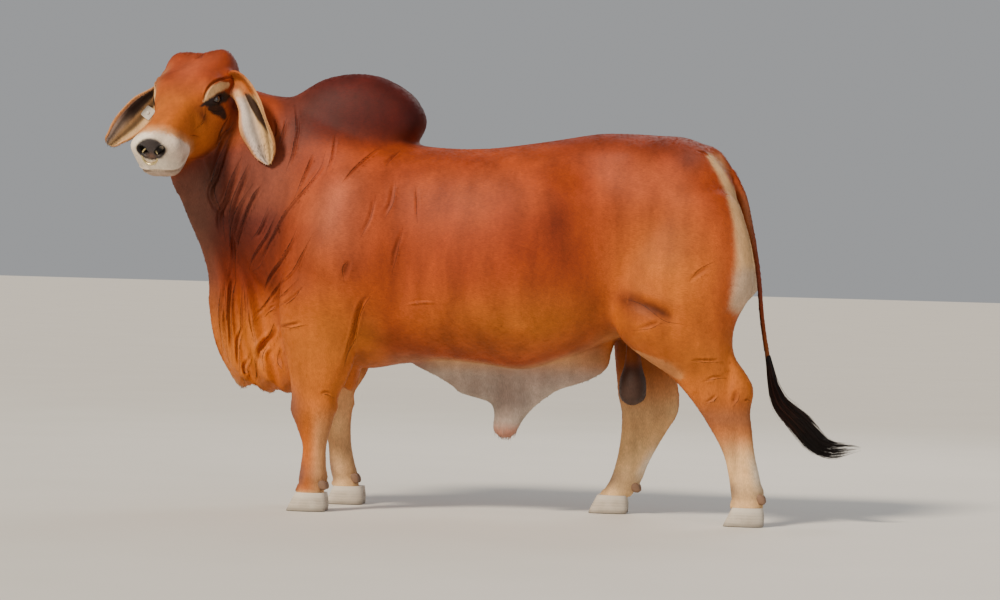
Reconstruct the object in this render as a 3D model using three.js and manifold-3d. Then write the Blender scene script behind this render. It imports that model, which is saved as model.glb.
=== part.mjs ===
// A red Brahman bull, life size, in a walking stance with its head turned to its left.
// Millimetres. X runs from the head to the tail, the bull's left side faces -Y, and Z is up from the floor.
import * as THREE from 'three';
import { mergeVertices } from 'three/addons/utils/BufferGeometryUtils.js';
import Module from 'manifold-3d';

const wasm = await Module();
wasm.setup();

// Driving dimensions
const HIP_HEIGHT = 1413;          // top of the rump above the floor
const HUMP_HEIGHT = 1620;         // top of the hump
const POLL = [-1132, -60, 1671];  // crown of the head
const HEAD_YAW = 75.5;             // degrees that the head turns from straight ahead to its left
const HEAD_PITCH = 38;            // degrees that the face slopes down
const HEAD_LENGTH = 540;          // crown to the tip of the nose
const HEAD_WIDTH = 286;           // across the brows
const EYE_RADIUS = 21;
const EAR_WIDTH = 140;
const EAR_THICKNESS = 8;
const BELLY_WIDTH = 770;          // widest part of the barrel
const FORE_TRACK = 400;           // between the middles of the fore feet
const HIND_TRACK = 410;           // between the middles of the hind feet
const CLAW_HEIGHT = 68;
const CLAW_WIDTH = 58;
const CLAW_LENGTH = 146;
const CLAW_SPACE = 5;             // between the two claws of a foot
const RING_RADIUS = 31;
const RING_WIRE = 4;
const TAG = [40, 46, 2.2];
const SWITCH_LOCKS = 11;
const GAP = 0.3;                  // between pieces that touch
const MOUTH_GAP = 1.2;            // the line of the mouth
const SEED = 7;

const vec = (x, y, z) => new THREE.Vector3(x, y, z);
const rad = THREE.MathUtils.degToRad;
const { lerp, smoothstep, clamp } = THREE.MathUtils;
const AXIS_X = vec(1, 0, 0);
const AXIS_Y = vec(0, 1, 0);
const AXIS_Z = vec(0, 0, 1);
const SIDES = [['left', -1], ['right', 1]];

// Seeded random numbers from 0 to 1
let randomState = SEED;
function random() {
  randomState = (randomState * 16807) % 2147483647;
  return randomState / 2147483647;
}
const between = (low, high) => low + (high - low) * random();

// Reads a table of sizes along a body: the first column is the place, the others are eased between rows.
function sizesAlong(table) {
  const places = table.map((row) => row[0]);
  const values = table.flatMap((row) => row.slice(1));
  const curve = new THREE.CubicInterpolant(places, values, table[0].length - 1);
  return (place) => [...curve.evaluate(clamp(place, places[0], places.at(-1)))];
}

// Places of the rings and how wide each is open: close together over a rounded end, even between the ends
function ringPlaces(from, to, rings, startCap, endCap, capRings) {
  const turns = Array.from({ length: capRings }, (_, i) => ((i + 1) / (capRings + 1)) * Math.PI / 2);
  const start = startCap ? turns.map((a) => [from + startCap * (1 - Math.cos(a)), Math.sin(a)]) : [];
  const end = endCap ? turns.map((a) => [to - endCap * (1 - Math.cos(a)), Math.sin(a)]).reverse() : [];
  const first = from + startCap;
  const last = to - endCap;
  const middle = Array.from({ length: rings + 1 }, (_, i) => [lerp(first, last, i / rings), 1]);
  return [...start, ...middle, ...end];
}

// A closed body: rings of points from one end to the other, closed by a point at each end
function loft({ from, to, rings, columns, startCap = 0, endCap = 0, capRings = 3, point }) {
  const places = ringPlaces(from, to, rings, startCap, endCap, capRings);
  const points = [point(from, 0, 0)];
  for (const [place, open] of places) {
    for (let j = 0; j < columns; j++) points.push(point(place, (j / columns) * 2 * Math.PI, open));
  }
  points.push(point(to, 0, 0));
  const at = (i, j) => 1 + i * columns + (j % columns);
  const end = places.length - 1;
  const faces = [];
  for (let j = 0; j < columns; j++) {
    faces.push(0, at(0, j + 1), at(0, j));
    for (let i = 0; i < end; i++) {
      faces.push(at(i, j), at(i, j + 1), at(i + 1, j + 1), at(i, j), at(i + 1, j + 1), at(i + 1, j));
    }
    faces.push(points.length - 1, at(end, j), at(end, j + 1));
  }
  const geometry = new THREE.BufferGeometry();
  geometry.setAttribute('position', new THREE.Float32BufferAttribute(points.flatMap((p) => p.toArray()), 3));
  geometry.setIndex(faces);
  return solid(geometry);
}

// A solid from a closed geometry, turned so that its faces point out
function solid(geometry) {
  const bare = geometry.clone();
  bare.deleteAttribute('normal');
  bare.deleteAttribute('uv');
  const merged = mergeVertices(bare, 1e-3);
  const vertProperties = new Float32Array(merged.attributes.position.array);
  const triVerts = new Uint32Array(merged.index.array);
  const corner = (k) => vec().fromArray(vertProperties, 3 * triVerts[k]);
  let volume = 0;
  for (let i = 0; i < triVerts.length; i += 3) volume += corner(i).dot(corner(i + 1).cross(corner(i + 2)));
  if (volume < 0) triVerts.reverse();
  return new wasm.Manifold(new wasm.Mesh({ numProp: 3, vertProperties, triVerts }));
}
const joined = (solids) => solids.reduce((sum, piece) => sum.add(piece));

// The rounded cross-section of a trunk or limb. A row of the table holds the place on the axis, then the low
// edge, the widest level and the high edge along `first`, the middle and the half width along `second`, and
// how square the section is (2 is an ellipse). `grow` widens it all round.
function section({ origin = vec(0, 0, 0), along, first, second }, table, grow = 0) {
  const sizes = sizesAlong(table);
  return (place, angle, open) => {
    const [low, widest, high, side, half, square] = sizes(place);
    const rounded = (value) => Math.sign(value) * Math.abs(value) ** (2 / square) * open;
    const up = rounded(Math.sin(angle));
    const out = rounded(Math.cos(angle));
    return origin.clone()
      .addScaledVector(along, place)
      .addScaledVector(first, widest + up * ((up > 0 ? high - widest : widest - low) + grow))
      .addScaledVector(second, side + out * (half + grow));
  };
}

// Soft swellings and hollows: each moves the points near `at` by `by`, fading over `reach`
function shaped(point, swellings) {
  return (...place) => {
    const start = point(...place);
    const p = start.clone();
    for (const { at, reach, by } of swellings) {
      p.addScaledVector(by, Math.exp(-start.clone().sub(at).divide(reach).lengthSq()));
    }
    return p;
  };
}
const swell = (at, reach, by) => ({ at: vec(...at), reach: vec(...reach), by: vec(...by) });
const bothSides = ([x, y, z], reach, [dx, dy, dz]) => [
  swell([x, y, z], reach, [dx, dy, dz]),
  swell([x, -y, z], reach, [dx, -dy, dz]),
];

// The trunk from the chest to the rump
const lengthwise = { along: AXIS_X, first: AXIS_Z, second: AXIS_Y };
const trunkTable = [
  // place, lowest, widest level, highest, middle, half width, square
  [-800, 690, 960, 1230, 0, 222, 2.1],
  [-700, 590, 950, 1330, 0, 284, 2.2],
  [-600, 535, 935, 1365, 0, 318, 2.3],
  [-480, 520, 915, 1375, 0, 338, 2.3],
  [-356, 540, 890, 1360, 0, 340, 2.3],
  [-204, 556, 870, 1347, 0, 362, 2.3],
  [-50, 548, 860, 1350, 0, BELLY_WIDTH / 2, 2.3],
  [100, 534, 870, 1370, 0, BELLY_WIDTH / 2 + 2, 2.3],
  [240, 572, 895, 1393, 0, 362, 2.3],
  [351, 616, 940, HIP_HEIGHT, 0, 318, 2.3],
  [450, 655, 985, HIP_HEIGHT + 3, 0, 292, 2.4],
  [577, 690, 1010, HIP_HEIGHT - 2, 0, 288, 2.4],
  [690, 710, 1010, HIP_HEIGHT - 10, 0, 275, 2.4],
  [784, 740, 1000, 1346, 0, 240, 2.3],
  [850, 790, 990, 1238, 0, 196, 2.2],
  [905, 850, 970, 1120, 0, 150, 2.1],
];
const trunkSwellings = [
  ...bothSides([-560, 300, 1080], [130, 200, 230], [0, 34, 0]),   // shoulder blade
  ...bothSides([-640, 290, 930], [110, 160, 130], [0, 30, 0]),    // point of the shoulder
  ...bothSides([-470, 310, 870], [90, 150, 120], [0, 26, 0]),     // elbow
  ...bothSides([-330, 340, 860], [50, 150, 130], [0, -16, 0]),    // hollow behind the elbow
  ...bothSides([330, 300, 1270], [110, 120, 70], [0, -34, -8]),   // hollow of the flank
  ...bothSides([478, 250, 1350], [70, 110, 60], [0, 26, 14]),     // hook bone
  ...bothSides([640, 270, 1270], [110, 120, 80], [0, -16, 0]),    // dip of the rump
  ...bothSides([770, 220, 1180], [90, 120, 90], [0, 20, 0]),      // thurl
  ...bothSides([850, 110, 1250], [60, 60, 60], [26, 8, 10]),      // pin bone
  swell([890, 0, 1080], [60, 45, 160], [-36, 0, 0]),              // groove under the tail
];
const trunk = (grow = 0) => loft({
  from: -845 - grow, to: 925 + grow, rings: 21, columns: 28, startCap: 90, endCap: 60,
  point: shaped(section(lengthwise, trunkTable, grow), trunkSwellings),
});

// The neck rises and narrows towards the head
const neckTable = [
  [-1150, 1200, 1430, 1596, -22, 94, 2.1],
  [-1100, 1100, 1370, 1598, -18, 118, 2.1],
  [-1030, 970, 1280, 1580, -12, 134, 2.1],
  [-960, 870, 1200, 1552, -8, 150, 2.1],
  [-880, 780, 1140, 1534, -4, 172, 2.1],
  [-780, 710, 1090, 1518, 0, 206, 2.1],
  [-680, 690, 1070, 1490, 0, 242, 2.2],
  [-560, 720, 1070, 1440, 0, 268, 2.2],
  [-440, 780, 1070, 1392, 0, 262, 2.2],
];
const neck = (grow = 0) => loft({
  from: -1170 - grow, to: -440, rings: 10, columns: 20, startCap: 60,
  point: section(lengthwise, neckTable, grow),
});

// The hump over the shoulders, which leans back over the withers
const humpTable = [
  [-840, 1370, 1410, 1505, 0, 52, 2],
  [-760, 1300, 1375, 1549, 0, 102, 2],
  [-696, 1265, 1355, 1590, 0, 130, 2],
  [-621, 1250, 1350, HUMP_HEIGHT - 7, 0, 146, 2],
  [-546, 1250, 1350, HUMP_HEIGHT, 0, 150, 2],
  [-471, 1260, 1360, HUMP_HEIGHT - 8, 0, 145, 2],
  [-395, 1310, 1410, HUMP_HEIGHT - 40, 0, 126, 2],
  [-345, 1345, 1442, HUMP_HEIGHT - 74, 0, 104, 2.1],
  [-289, 1365, 1440, HUMP_HEIGHT - 120, 0, 80, 2.1],
];
const hump = () => loft({
  from: -860, to: -286, rings: 9, columns: 18, startCap: 50, endCap: 62,
  point: section(lengthwise, humpTable),
});

// The dewlap: a thin curtain of folds from the throat down to the brisket
const dewlapTable = [
  // level, front x, front y, root x, root y, half thickness
  [428, -930, 0, -560, 0, 52],
  [450, -972, 0, -540, 0, 62],
  [500, -1020, 0, -520, 0, 66],
  [560, -1055, -4, -520, 0, 60],
  [640, -1082, -10, -560, 0, 52],
  [740, -1096, -22, -620, 0, 44],
  [850, -1095, -46, -700, 0, 38],
  [950, -1116, -86, -790, 0, 34],
  [1046, -1149, -142, -860, -10, 32],
  [1126, -1175, -190, -930, -20, 30],
  [1198, -1200, -235, -1000, -30, 30],
  [1250, -1206, -262, -1040, -36, 28],
  [1330, -1200, -250, -1060, -40, 24],
];
const PLEATS = 5;
const PLEAT_DEPTH = 26;
const ROOT_THICKNESS = 2.4;        // how much thicker the dewlap is at its root than at its edge
const SCALLOP = 18;               // how far the bottom edge rises between pleats
const dewlapSizes = sizesAlong(dewlapTable);
function dewlapPoint(level, angle, open) {
  const [frontX, frontY, rootX, rootY, half] = dewlapSizes(level);
  const across = lerp(0.5, (1 + Math.cos(angle)) / 2, open);       // 0 at the root, 1 at the front edge
  const pleat = across * PLEATS * 2 * Math.PI;
  const loose = smoothstep(1100 - level, 0, 450);
  const wave = PLEAT_DEPTH * loose * across * Math.sin(pleat + level / 260);
  const round = Math.sign(Math.sin(angle)) * Math.abs(Math.sin(angle)) ** 0.8 * open;
  const hang = SCALLOP * Math.cos(pleat) * (1 - smoothstep(level, 430, 520)) * open;
  return vec(
    lerp(rootX, frontX, across),
    lerp(rootY, frontY, across ** 1.4) + wave + half * lerp(ROOT_THICKNESS, 1, across) * round,
    level - hang,
  );
}
const dewlap = () => loft({
  from: 424, to: 1330, rings: 16, columns: 26, startCap: 34, endCap: 20, point: dewlapPoint,
});

// The head's own frame: from the crown to the nose, to the bull's left, and upwards out of the face
const facing = vec(-Math.cos(rad(HEAD_YAW)), -Math.sin(rad(HEAD_YAW)), 0);
const slope = rad(HEAD_PITCH);
const noseward = facing.clone().multiplyScalar(Math.cos(slope)).addScaledVector(AXIS_Z, -Math.sin(slope));
const faceUp = facing.clone().multiplyScalar(Math.sin(slope)).addScaledVector(AXIS_Z, Math.cos(slope));
const leftward = vec(Math.sin(rad(HEAD_YAW)), -Math.cos(rad(HEAD_YAW)), 0);
const crown = vec(...POLL);
const headVector = (s, l, n) => vec(0, 0, 0)
  .addScaledVector(noseward, s).addScaledVector(leftward, l).addScaledVector(faceUp, n);
const headPoint = (s, l, n) => headVector(s, l, n).add(crown);
const headAxes = { origin: crown, along: noseward, first: faceUp, second: leftward };

// Swellings of the head, in its own frame: the place, the reach, the push, and whether both sides have it
function headShaped(point, swellings) {
  return (...place) => {
    const p = point(...place);
    const local = p.clone().sub(crown);
    const [s, l, n] = [noseward, leftward, faceUp].map((axis) => local.dot(axis));
    for (const [at, reach, by, both] of swellings) {
      for (const side of both ? [-1, 1] : [1]) {
        const away = Math.hypot(s - at[0], l - side * at[1], n - at[2]) / reach;
        p.add(headVector(by[0], side * by[1], by[2]).multiplyScalar(Math.exp(-away * away)));
      }
    }
    return p;
  };
}

const BROW = HEAD_WIDTH / 2;
const EYE = [198, BROW - 31, -62];                 // middle of an eye
const NOSTRIL = [HEAD_LENGTH - 20, 50, -40];
const MOUTH = [395, -124];                         // corner of the mouth: along the head, and below the face
const headTable = [
  // place, lowest, widest level, highest, middle, half width, square
  [-60, -170, -90, -40, -8, BROW - 36, 2.2],
  [0, -225, -90, -8, -8, BROW - 6, 2.6],
  [60, -262, -88, 6, -5, BROW, 2.6],
  [130, -284, -80, 18, 0, BROW, 2.5],
  [205, -292, -78, 14, 0, BROW - 8, 2.6],
  [270, -280, -95, 8, 0, BROW - 30, 2.5],
  [335, -240, -105, 2, 0, BROW - 52, 2.4],
  [395, -206, -96, 0, 0, BROW - 62, 2.3],
  [445, -192, -86, 0, 0, BROW - 54, 2.4],
  [490, -190, -80, -3, 0, BROW - 46, 2.5],
  [525, -182, -78, -13, 0, BROW - 52, 2.5],
  [HEAD_LENGTH, -170, -78, -24, 0, BROW - 61, 2.4],
];
const headSwellings = [
  [[-4, 86, -4], 60, [-10, 14, 17], true],         // the two domes of the crown
  [[2, 74, -2], 64, [-8, 2, 17], false],           // the left dome stands higher
  [[30, -128, -40], 60, [0, -8, 4], false],        // the right side of the forehead
  [[170, 118, -6], 48, [0, 10, 14], true],         // brow over each eye
  [[200, 140, -66], 38, [0, -14, 0], true],        // socket
  [[190, 120, -190], 80, [0, 14, 0], true],        // cheek muscle
  [[300, 96, -60], 48, [0, -10, 0], true],         // hollow under the eye
  [[340, 0, 4], 90, [0, 0, 7], false],             // arched bridge of the nose
  [[500, 74, -52], 34, [4, 8, 4], true],           // flare of each nostril
  [[440, 80, -118], 36, [0, 8, 0], true],          // upper lip
  [[505, 40, -150], 36, [6, 4, -6], true],         // chin
];
const skull = (grow = 0) => loft({
  from: -70 - grow, to: HEAD_LENGTH + 6 + grow, rings: 15, columns: 22, startCap: 50, endCap: 34, capRings: 2,
  point: headShaped(section(headAxes, headTable, grow), headSwellings),
});

// A ball stretched to three half-lengths in the head's frame
function headBall([s, l, n], [halfS, halfL, halfN], columns, rows) {
  const placed = new THREE.Matrix4().makeBasis(
    noseward.clone().multiplyScalar(halfS),
    leftward.clone().multiplyScalar(halfL),
    faceUp.clone().multiplyScalar(halfN),
  ).setPosition(headPoint(s, l, n));
  return solid(new THREE.SphereGeometry(1, columns, rows).applyMatrix4(placed));
}
const onSide = ([s, l, n], side) => [s, -side * l, n];

// Eyes, and the lids: a mound of skin over each eye, open in an almond
const eyeBall = (side, grow = 0) => headBall(onSide(EYE, side), Array(3).fill(EYE_RADIUS + grow), 10, 7);
function lids(side) {
  const [s, l, n] = EYE;
  const mound = headBall(onSide([s, l - 2, n], side), [42, 25, 34], 10, 7);
  const almond = headBall(onSide([s + 3, l + 26, n - 2], side), [29, 21, 11], 8, 5);
  return { mound, almond };
}

// Nostrils: comma-shaped openings that run back and outwards into the muzzle
function nostril(side) {
  const [s, l, n] = NOSTRIL;
  const opening = headBall(onSide([s, l, n], side), [40, 20, 17], 8, 5);
  const wing = headBall(onSide([s - 12, l + 17, n + 4], side), [24, 15, 11], 7, 4);
  return opening.add(wing);
}

// The nose ring hangs through the wall between the nostrils
function noseRing(wire) {
  const hang = headVector(0.42, 0, -0.91).normalize();
  const placed = new THREE.Matrix4().makeBasis(leftward, hang, leftward.clone().cross(hang))
    .setPosition(headPoint(HEAD_LENGTH - 5, 0, -80));
  return solid(new THREE.TorusGeometry(RING_RADIUS, wire, 5, 20).applyMatrix4(placed));
}

// A long drooping ear is a leaf, rolled at its root and cupped along its length. `opening` is the way that
// the cup faces, and the spine of the ear runs through three points.
// along the ear, half width as a share of the whole width, how far the edges curl forward
const LEFT_EAR = [
  [0, 0.17, 1.26],
  [0.15, 0.42, 1.2],
  [0.35, 0.38, 0.6],
  [0.55, 0.43, 0.64],
  [0.75, 0.57, 1],
  [0.9, 0.44, 0.43],
  [1, 0.24, 0.2],
];
const RIGHT_EAR = [
  [0, 0.16, 1.29],
  [0.15, 0.27, 1.4],
  [0.35, 0.43, 0.86],
  [0.55, 0.48, 0.89],
  [0.75, 0.385, 0.67],
  [0.9, 0.24, 0.52],
  [1, 0.19, 0.47],
];
function earBlade({ sizes, spine, opening }) {
  const sizesAt = sizesAlong(sizes);
  const curve = new THREE.QuadraticBezierCurve3(...spine);
  return (t, v, lift) => {
    const [width, curl] = sizesAt(t);
    const tangent = curve.getTangent(t);
    const front = opening.clone().addScaledVector(tangent, -opening.dot(tangent)).normalize();
    const across = tangent.clone().cross(front);
    const radius = EAR_WIDTH * width / curl;
    return curve.getPoint(t)
      .addScaledVector(across, (radius - lift) * Math.sin(v * curl))
      .addScaledVector(front, radius - (radius - lift) * Math.cos(v * curl));
  };
}
function ear(blade) {
  return loft({
    from: 0, to: 1, rings: 12, columns: 12, startCap: 0.05, endCap: 0.08, capRings: 2,
    point: (t, angle, open) => {
      const inner = angle > Math.PI + 1e-6;
      const v = (inner ? 2 * (angle / Math.PI - 1) - 1 : 1 - 2 * angle / Math.PI) * open;
      const wall = EAR_THICKNESS / 2 * (1 - 0.4 * t) * Math.sqrt(1 - 0.7 * v * v) * open;
      return blade(t, v, inner ? wall : -wall);
    },
  });
}
const earRoot = (side) => headPoint(82, -side * (BROW - 14), -62);
const blades = {
  left: earBlade({
    sizes: LEFT_EAR,
    spine: [earRoot(-1), vec(-929, -156, 1592), vec(-845, -188, 1265)],
    opening: vec(-0.48, -0.95, -0.166),
  }),
  right: earBlade({
    sizes: RIGHT_EAR,
    spine: [earRoot(1), vec(-1378, -74, 1442), vec(-1479, -75, 1328)],
    opening: vec(0.365, -0.95, -0.359),
  }),
};

// A plain tag on a stud, on the inner face of the right ear
const TAG_PLACE = [0.4, -0.5];    // along the ear, and across it
const TAG_LIFT = 4.5;
function earTag() {
  const [t, v] = TAG_PLACE;
  const wall = EAR_THICKNESS / 2;
  const base = blades.right(t, v, wall);
  const out = blades.right(t, v, wall + 1).sub(base).normalize();
  const down = blades.right(t + 0.01, v, wall).sub(base);
  down.addScaledVector(out, -down.dot(out)).normalize();
  const turned = new THREE.Matrix4().makeBasis(down.clone().cross(out), down, out);
  const plate = new THREE.BoxGeometry(...TAG).translate(0, 0, TAG_LIFT + TAG[2] / 2);
  const stud = new THREE.CylinderGeometry(7, 7, TAG_LIFT, 12).rotateX(Math.PI / 2).translate(0, 0, TAG_LIFT / 2 + 0.5);
  const body = solid(plate).add(solid(stud));
  return body.transform(turned.setPosition(base).elements);
}

// Legs. A row holds the level, the front edge, the rear edge, the middle across and the half width.
const upright = { along: AXIS_Z, first: AXIS_X, second: AXIS_Y };
const foreOut = FORE_TRACK / 2;
const hindOut = HIND_TRACK / 2;
const foreTop = [
  [490, -746, -526, foreOut + 4, 66],
  [560, -760, -503, foreOut + 8, 78],
  [661, -784, -490, foreOut + 14, 96],
  [760, -792, -455, foreOut + 20, 112],
  [860, -780, -420, foreOut + 16, 116],
  [1000, -730, -430, foreOut - 4, 100],
  [1100, -690, -460, foreOut - 40, 80],
];
const hindTop = [
  [850, 440, 950, hindOut + 12, 116],
  [950, 462, 948, hindOut + 6, 112],
  [1080, 500, 922, hindOut - 8, 100],
  [1230, 560, 858, hindOut - 30, 84],
];
const legRows = {
  fore_left: [
    [68, -716, -604, foreOut, 54],
    [92, -706, -604, foreOut, 46],
    [122, -704, -598, foreOut, 51],
    [160, -699, -599, foreOut, 43],
    [239, -694, -600, foreOut, 38],
    [300, -714, -586, foreOut, 48],
    [359, -734, -571, foreOut, 60],
    [420, -738, -560, foreOut, 59],
    ...foreTop,
  ],
  fore_right: [
    [68, -648, -540, foreOut, 54],
    [92, -646, -545, foreOut, 46],
    [122, -654, -550, foreOut, 51],
    [160, -660, -561, foreOut, 43],
    [239, -670, -575, foreOut, 38],
    [300, -700, -577, foreOut, 48],
    [359, -728, -573, foreOut, 60],
    [420, -736, -566, foreOut, 59],
    ...foreTop,
  ],
  hind_left: [
    [68, 880, 1005, hindOut, 54],
    [92, 884, 1004, hindOut, 46],
    [125, 880, 1000, hindOut, 51],
    [186, 870, 987, hindOut, 42],
    [261, 849, 969, hindOut, 39],
    [348, 801, 957, hindOut, 46],
    [410, 760, 949, hindOut, 56],
    [478, 706, 956, hindOut, 62],
    [540, 642, 936, hindOut, 68],
    [606, 540, 892, hindOut + 6, 88],
    [660, 470, 880, hindOut + 10, 104],
    [740, 436, 894, hindOut + 14, 112],
    ...hindTop,
  ],
  hind_right: [
    [68, 370, 494, hindOut, 54],
    [92, 387, 508, hindOut, 46],
    [125, 406, 528, hindOut, 51],
    [186, 425, 552, hindOut, 42],
    [261, 438, 590, hindOut, 40],
    [317, 443, 622, hindOut, 46],
    [380, 442, 658, hindOut, 56],
    [440, 428, 662, hindOut, 62],
    [510, 420, 655, hindOut, 68],
    [590, 410, 690, hindOut + 6, 88],
    [660, 402, 750, hindOut + 10, 104],
    [740, 410, 830, hindOut + 14, 112],
    ...hindTop,
  ],
};
const sideOf = (name) => (name.endsWith('left') ? -1 : 1);
function leg(name, grow = 0) {
  const rows = legRows[name].map(([level, front, rear, side, half]) => (
    [level, front, (front + rear) / 2, rear, sideOf(name) * side, half, 2.2]
  ));
  return loft({
    from: CLAW_HEIGHT + GAP, to: rows.at(-1)[0], rings: 19, columns: 13, endCap: 60, capRings: 2,
    point: section(upright, rows, grow),
  });
}

// Cloven hooves. A claw stands flat on the floor and its front wall slopes back as it rises.
const feet = {
  fore_left: { toe: -742, side: -foreOut, dewclaw: [-598, 100] },
  fore_right: { toe: -668, side: foreOut, dewclaw: [-544, 100] },
  hind_left: { toe: 858, side: -hindOut, dewclaw: [1006, 102] },
  hind_right: { toe: 330, side: hindOut, dewclaw: [520, 102] },
};
function claw(toe, side) {
  const heel = toe + CLAW_LENGTH;
  const half = CLAW_WIDTH / 2;
  return loft({
    from: 0, to: CLAW_HEIGHT, rings: 3, columns: 12,
    point: section(upright, [
      [0, toe, toe + CLAW_LENGTH * 0.55, heel, side, half, 2.5],
      [CLAW_HEIGHT * 0.5, toe + 17, toe + CLAW_LENGTH * 0.58, heel + 1, side, half - 1, 2.4],
      [CLAW_HEIGHT, toe + 34, toe + CLAW_LENGTH * 0.62, heel - 4, side, half - 4, 2.3],
    ]),
  });
}
function dewclaw([rear, level], side) {
  const low = level - 26;
  const high = level + 22;
  return loft({
    from: low, to: high, rings: 2, columns: 6, startCap: 8, endCap: 8, capRings: 1,
    point: section(upright, [
      [low, rear - 14, rear + 4, rear + 20, side, 13, 2],
      [level, rear - 30, rear - 8, rear + 15, side, 17, 2],
      [high, rear - 34, rear - 16, rear + 2, side, 15, 2],
    ]),
  });
}

// The sheath: a thin flap of skin that hangs from the navel, with a blunt tip
const sheath = () => loft({
  from: 279, to: 700, rings: 15, columns: 14, startCap: 20, capRings: 2,
  point: section(upright, [
    [279, 2, 32, 66, 0, 36, 2.2],
    [313, -16, 32, 82, 0, 36, 2.2],
    [343, -15, 40, 98, 0, 33, 2.2],
    [377, -16, 50, 124, 0, 30, 2.1],
    [412, -42, 60, 160, 0, 29, 2],
    [439, -142, 40, 196, 0, 29, 1.9],
    [462, -172, 50, 233, 0, 30, 1.9],
    [500, -236, 50, 340, 0, 34, 1.9],
    [540, -320, 50, 402, 0, 44, 1.9],
    [600, -360, 50, 424, 0, 66, 1.9],
    [650, -350, 50, 440, 0, 78, 1.9],
    [700, -340, 50, 446, 0, 84, 1.9],
  ]),
});

// The scrotum, with a narrow neck between the thighs
const scrotum = () => loft({
  from: 414, to: 790, rings: 10, columns: 14, startCap: 34, capRings: 2,
  point: section(upright, [
    [414, 460, 500, 540, 0, 52, 2],
    [450, 450, 502, 553, 0, 62, 2],
    [505, 449, 502, 552, 0, 62, 2],
    [560, 464, 502, 536, 0, 48, 2],
    [630, 468, 500, 530, 0, 38, 2],
    [700, 460, 500, 545, 0, 42, 2],
    [790, 450, 500, 560, 0, 46, 2],
  ]),
});

// A rope along a path: `wide` is its half width in the upright plane, `thick` its half width across
function sweep({ path, to = 1, rings, columns, wide, thick, startCap = 0, endCap = 0, capRings = 2 }) {
  return loft({
    from: 0, to, rings, columns, startCap, endCap, capRings,
    point: (t, angle, open) => path.getPoint(t)
      .addScaledVector(AXIS_Y, Math.cos(angle) * thick(t) * open)
      .addScaledVector(path.getTangent(t).cross(AXIS_Y).normalize(), Math.sin(angle) * wide(t) * open),
  });
}
const curveThrough = (points) => new THREE.CatmullRomCurve3(points.map((p) => vec(...p)), false, 'centripetal');

// The tail hangs close behind the buttocks
const TAIL_END = 590;
const tailPath = curveThrough([
  [742, 0, 1372], [796, 0, 1338], [834, 0, 1276], [884, -4, 1188], [911, -8, 1104], [937, -10, 998],
  [955, -8, 888], [968, -4, 760], [989, 0, 632], [1006, 0, 560],
]);
const tailRadius = (t) => 28 - 15 * smoothstep(t, 0.12, 0.62);
function tail(grow = 0) {
  const radius = (t) => tailRadius(t) + grow;
  return sweep({ path: tailPath, rings: 19, columns: 9, wide: radius, thick: radius, startCap: 0.03 });
}

// The switch sweeps back: a core half way to the tips, and flat tapered locks that overlap along it
const switchPath = curveThrough([
  [994, 0, 612], [1003, 0, 572], [1018, 2, 505], [1045, 4, 440], [1085, 5, 398], [1125, 4, 360],
  [1157, 2, 324], [1192, 0, 292], [1238, 0, 276], [1290, 0, 281], [1346, 0, 286],
]);
const switchSizes = sizesAlong([
  // along the switch, half width, half depth
  [0, 16, 14],
  [0.16, 26, 19],
  [0.3, 40, 25],
  [0.5, 49, 28],
  [0.72, 42, 21],
  [0.88, 26, 12],
  [1, 6, 4],
]);
const CORE_END = 0.5;
const switchCore = () => sweep({
  path: switchPath, to: CORE_END, rings: 5, columns: 8, endCap: 0.08, capRings: 1,
  wide: (t) => switchSizes(t)[0] * 0.66,
  thick: (t) => switchSizes(t)[1] * 0.64,
});
const LOCK = {
  first: 0.04,                    // where the first lock starts along the switch
  length: [0.42, 0.6],            // shares of the switch
  turn: 2.4,                      // radians between neighbours, round the core
  outward: [0.4, 0.8],            // shares of the switch's half width
  broad: [15, 20],                // half widths
  thick: 5.5,
};
function switchLock(index) {
  const start = LOCK.first + (CORE_END - 0.1) * (index / SWITCH_LOCKS);
  const end = Math.min(start + between(...LOCK.length), 0.995);
  const turn = index * LOCK.turn;
  const outward = between(...LOCK.outward);
  const broad = between(...LOCK.broad);
  return loft({
    from: 0, to: 1, rings: 3, columns: 4, endCap: 0.1, capRings: 1,
    point: (u, angle, open) => {
      const t = lerp(start, end, u);
      const tangent = switchPath.getTangent(t);
      const up = tangent.clone().cross(AXIS_Y);
      const outwards = up.clone().multiplyScalar(Math.cos(turn)).addScaledVector(AXIS_Y, Math.sin(turn));
      const [half, deep] = switchSizes(t);
      const spread = outward * (0.35 + 0.85 * u);
      return switchPath.getPoint(t)
        .addScaledVector(up, Math.cos(turn) * half * spread)
        .addScaledVector(AXIS_Y, Math.sin(turn) * deep * spread)
        .addScaledVector(outwards.clone().cross(tangent).normalize(), Math.cos(angle) * broad * (1 - 0.8 * u * u) * open)
        .addScaledVector(outwards, Math.sin(angle) * LOCK.thick * (1 - 0.7 * u) * open);
    },
  });
}
const tailSwitch = () => joined([
  switchCore(),
  ...Array.from({ length: SWITCH_LOCKS }, (_, index) => switchLock(index)),
]);

// Parting cuts. A region is where its half-spaces meet; each is a point and the way that it faces.
const REACH = 5000;
function halfSpace([point, way], grow) {
  const normal = vec(...way).normalize();
  const middle = vec(...point).addScaledVector(normal, REACH / 2 - grow);
  const block = new THREE.BoxGeometry(REACH, REACH, REACH)
    .applyQuaternion(new THREE.Quaternion().setFromUnitVectors(AXIS_Z, normal))
    .translate(middle.x, middle.y, middle.z);
  return solid(block);
}
const region = (planes, grow = 0) => planes
  .map((plane) => halfSpace(plane, grow))
  .reduce((both, next) => both.intersect(next));
const headPlane = (place, way) => [headPoint(...place).toArray(), headVector(...way).toArray()];

const SMOOTHING = 0.6;            // corners nearer than this to a straight run are dropped

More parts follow.
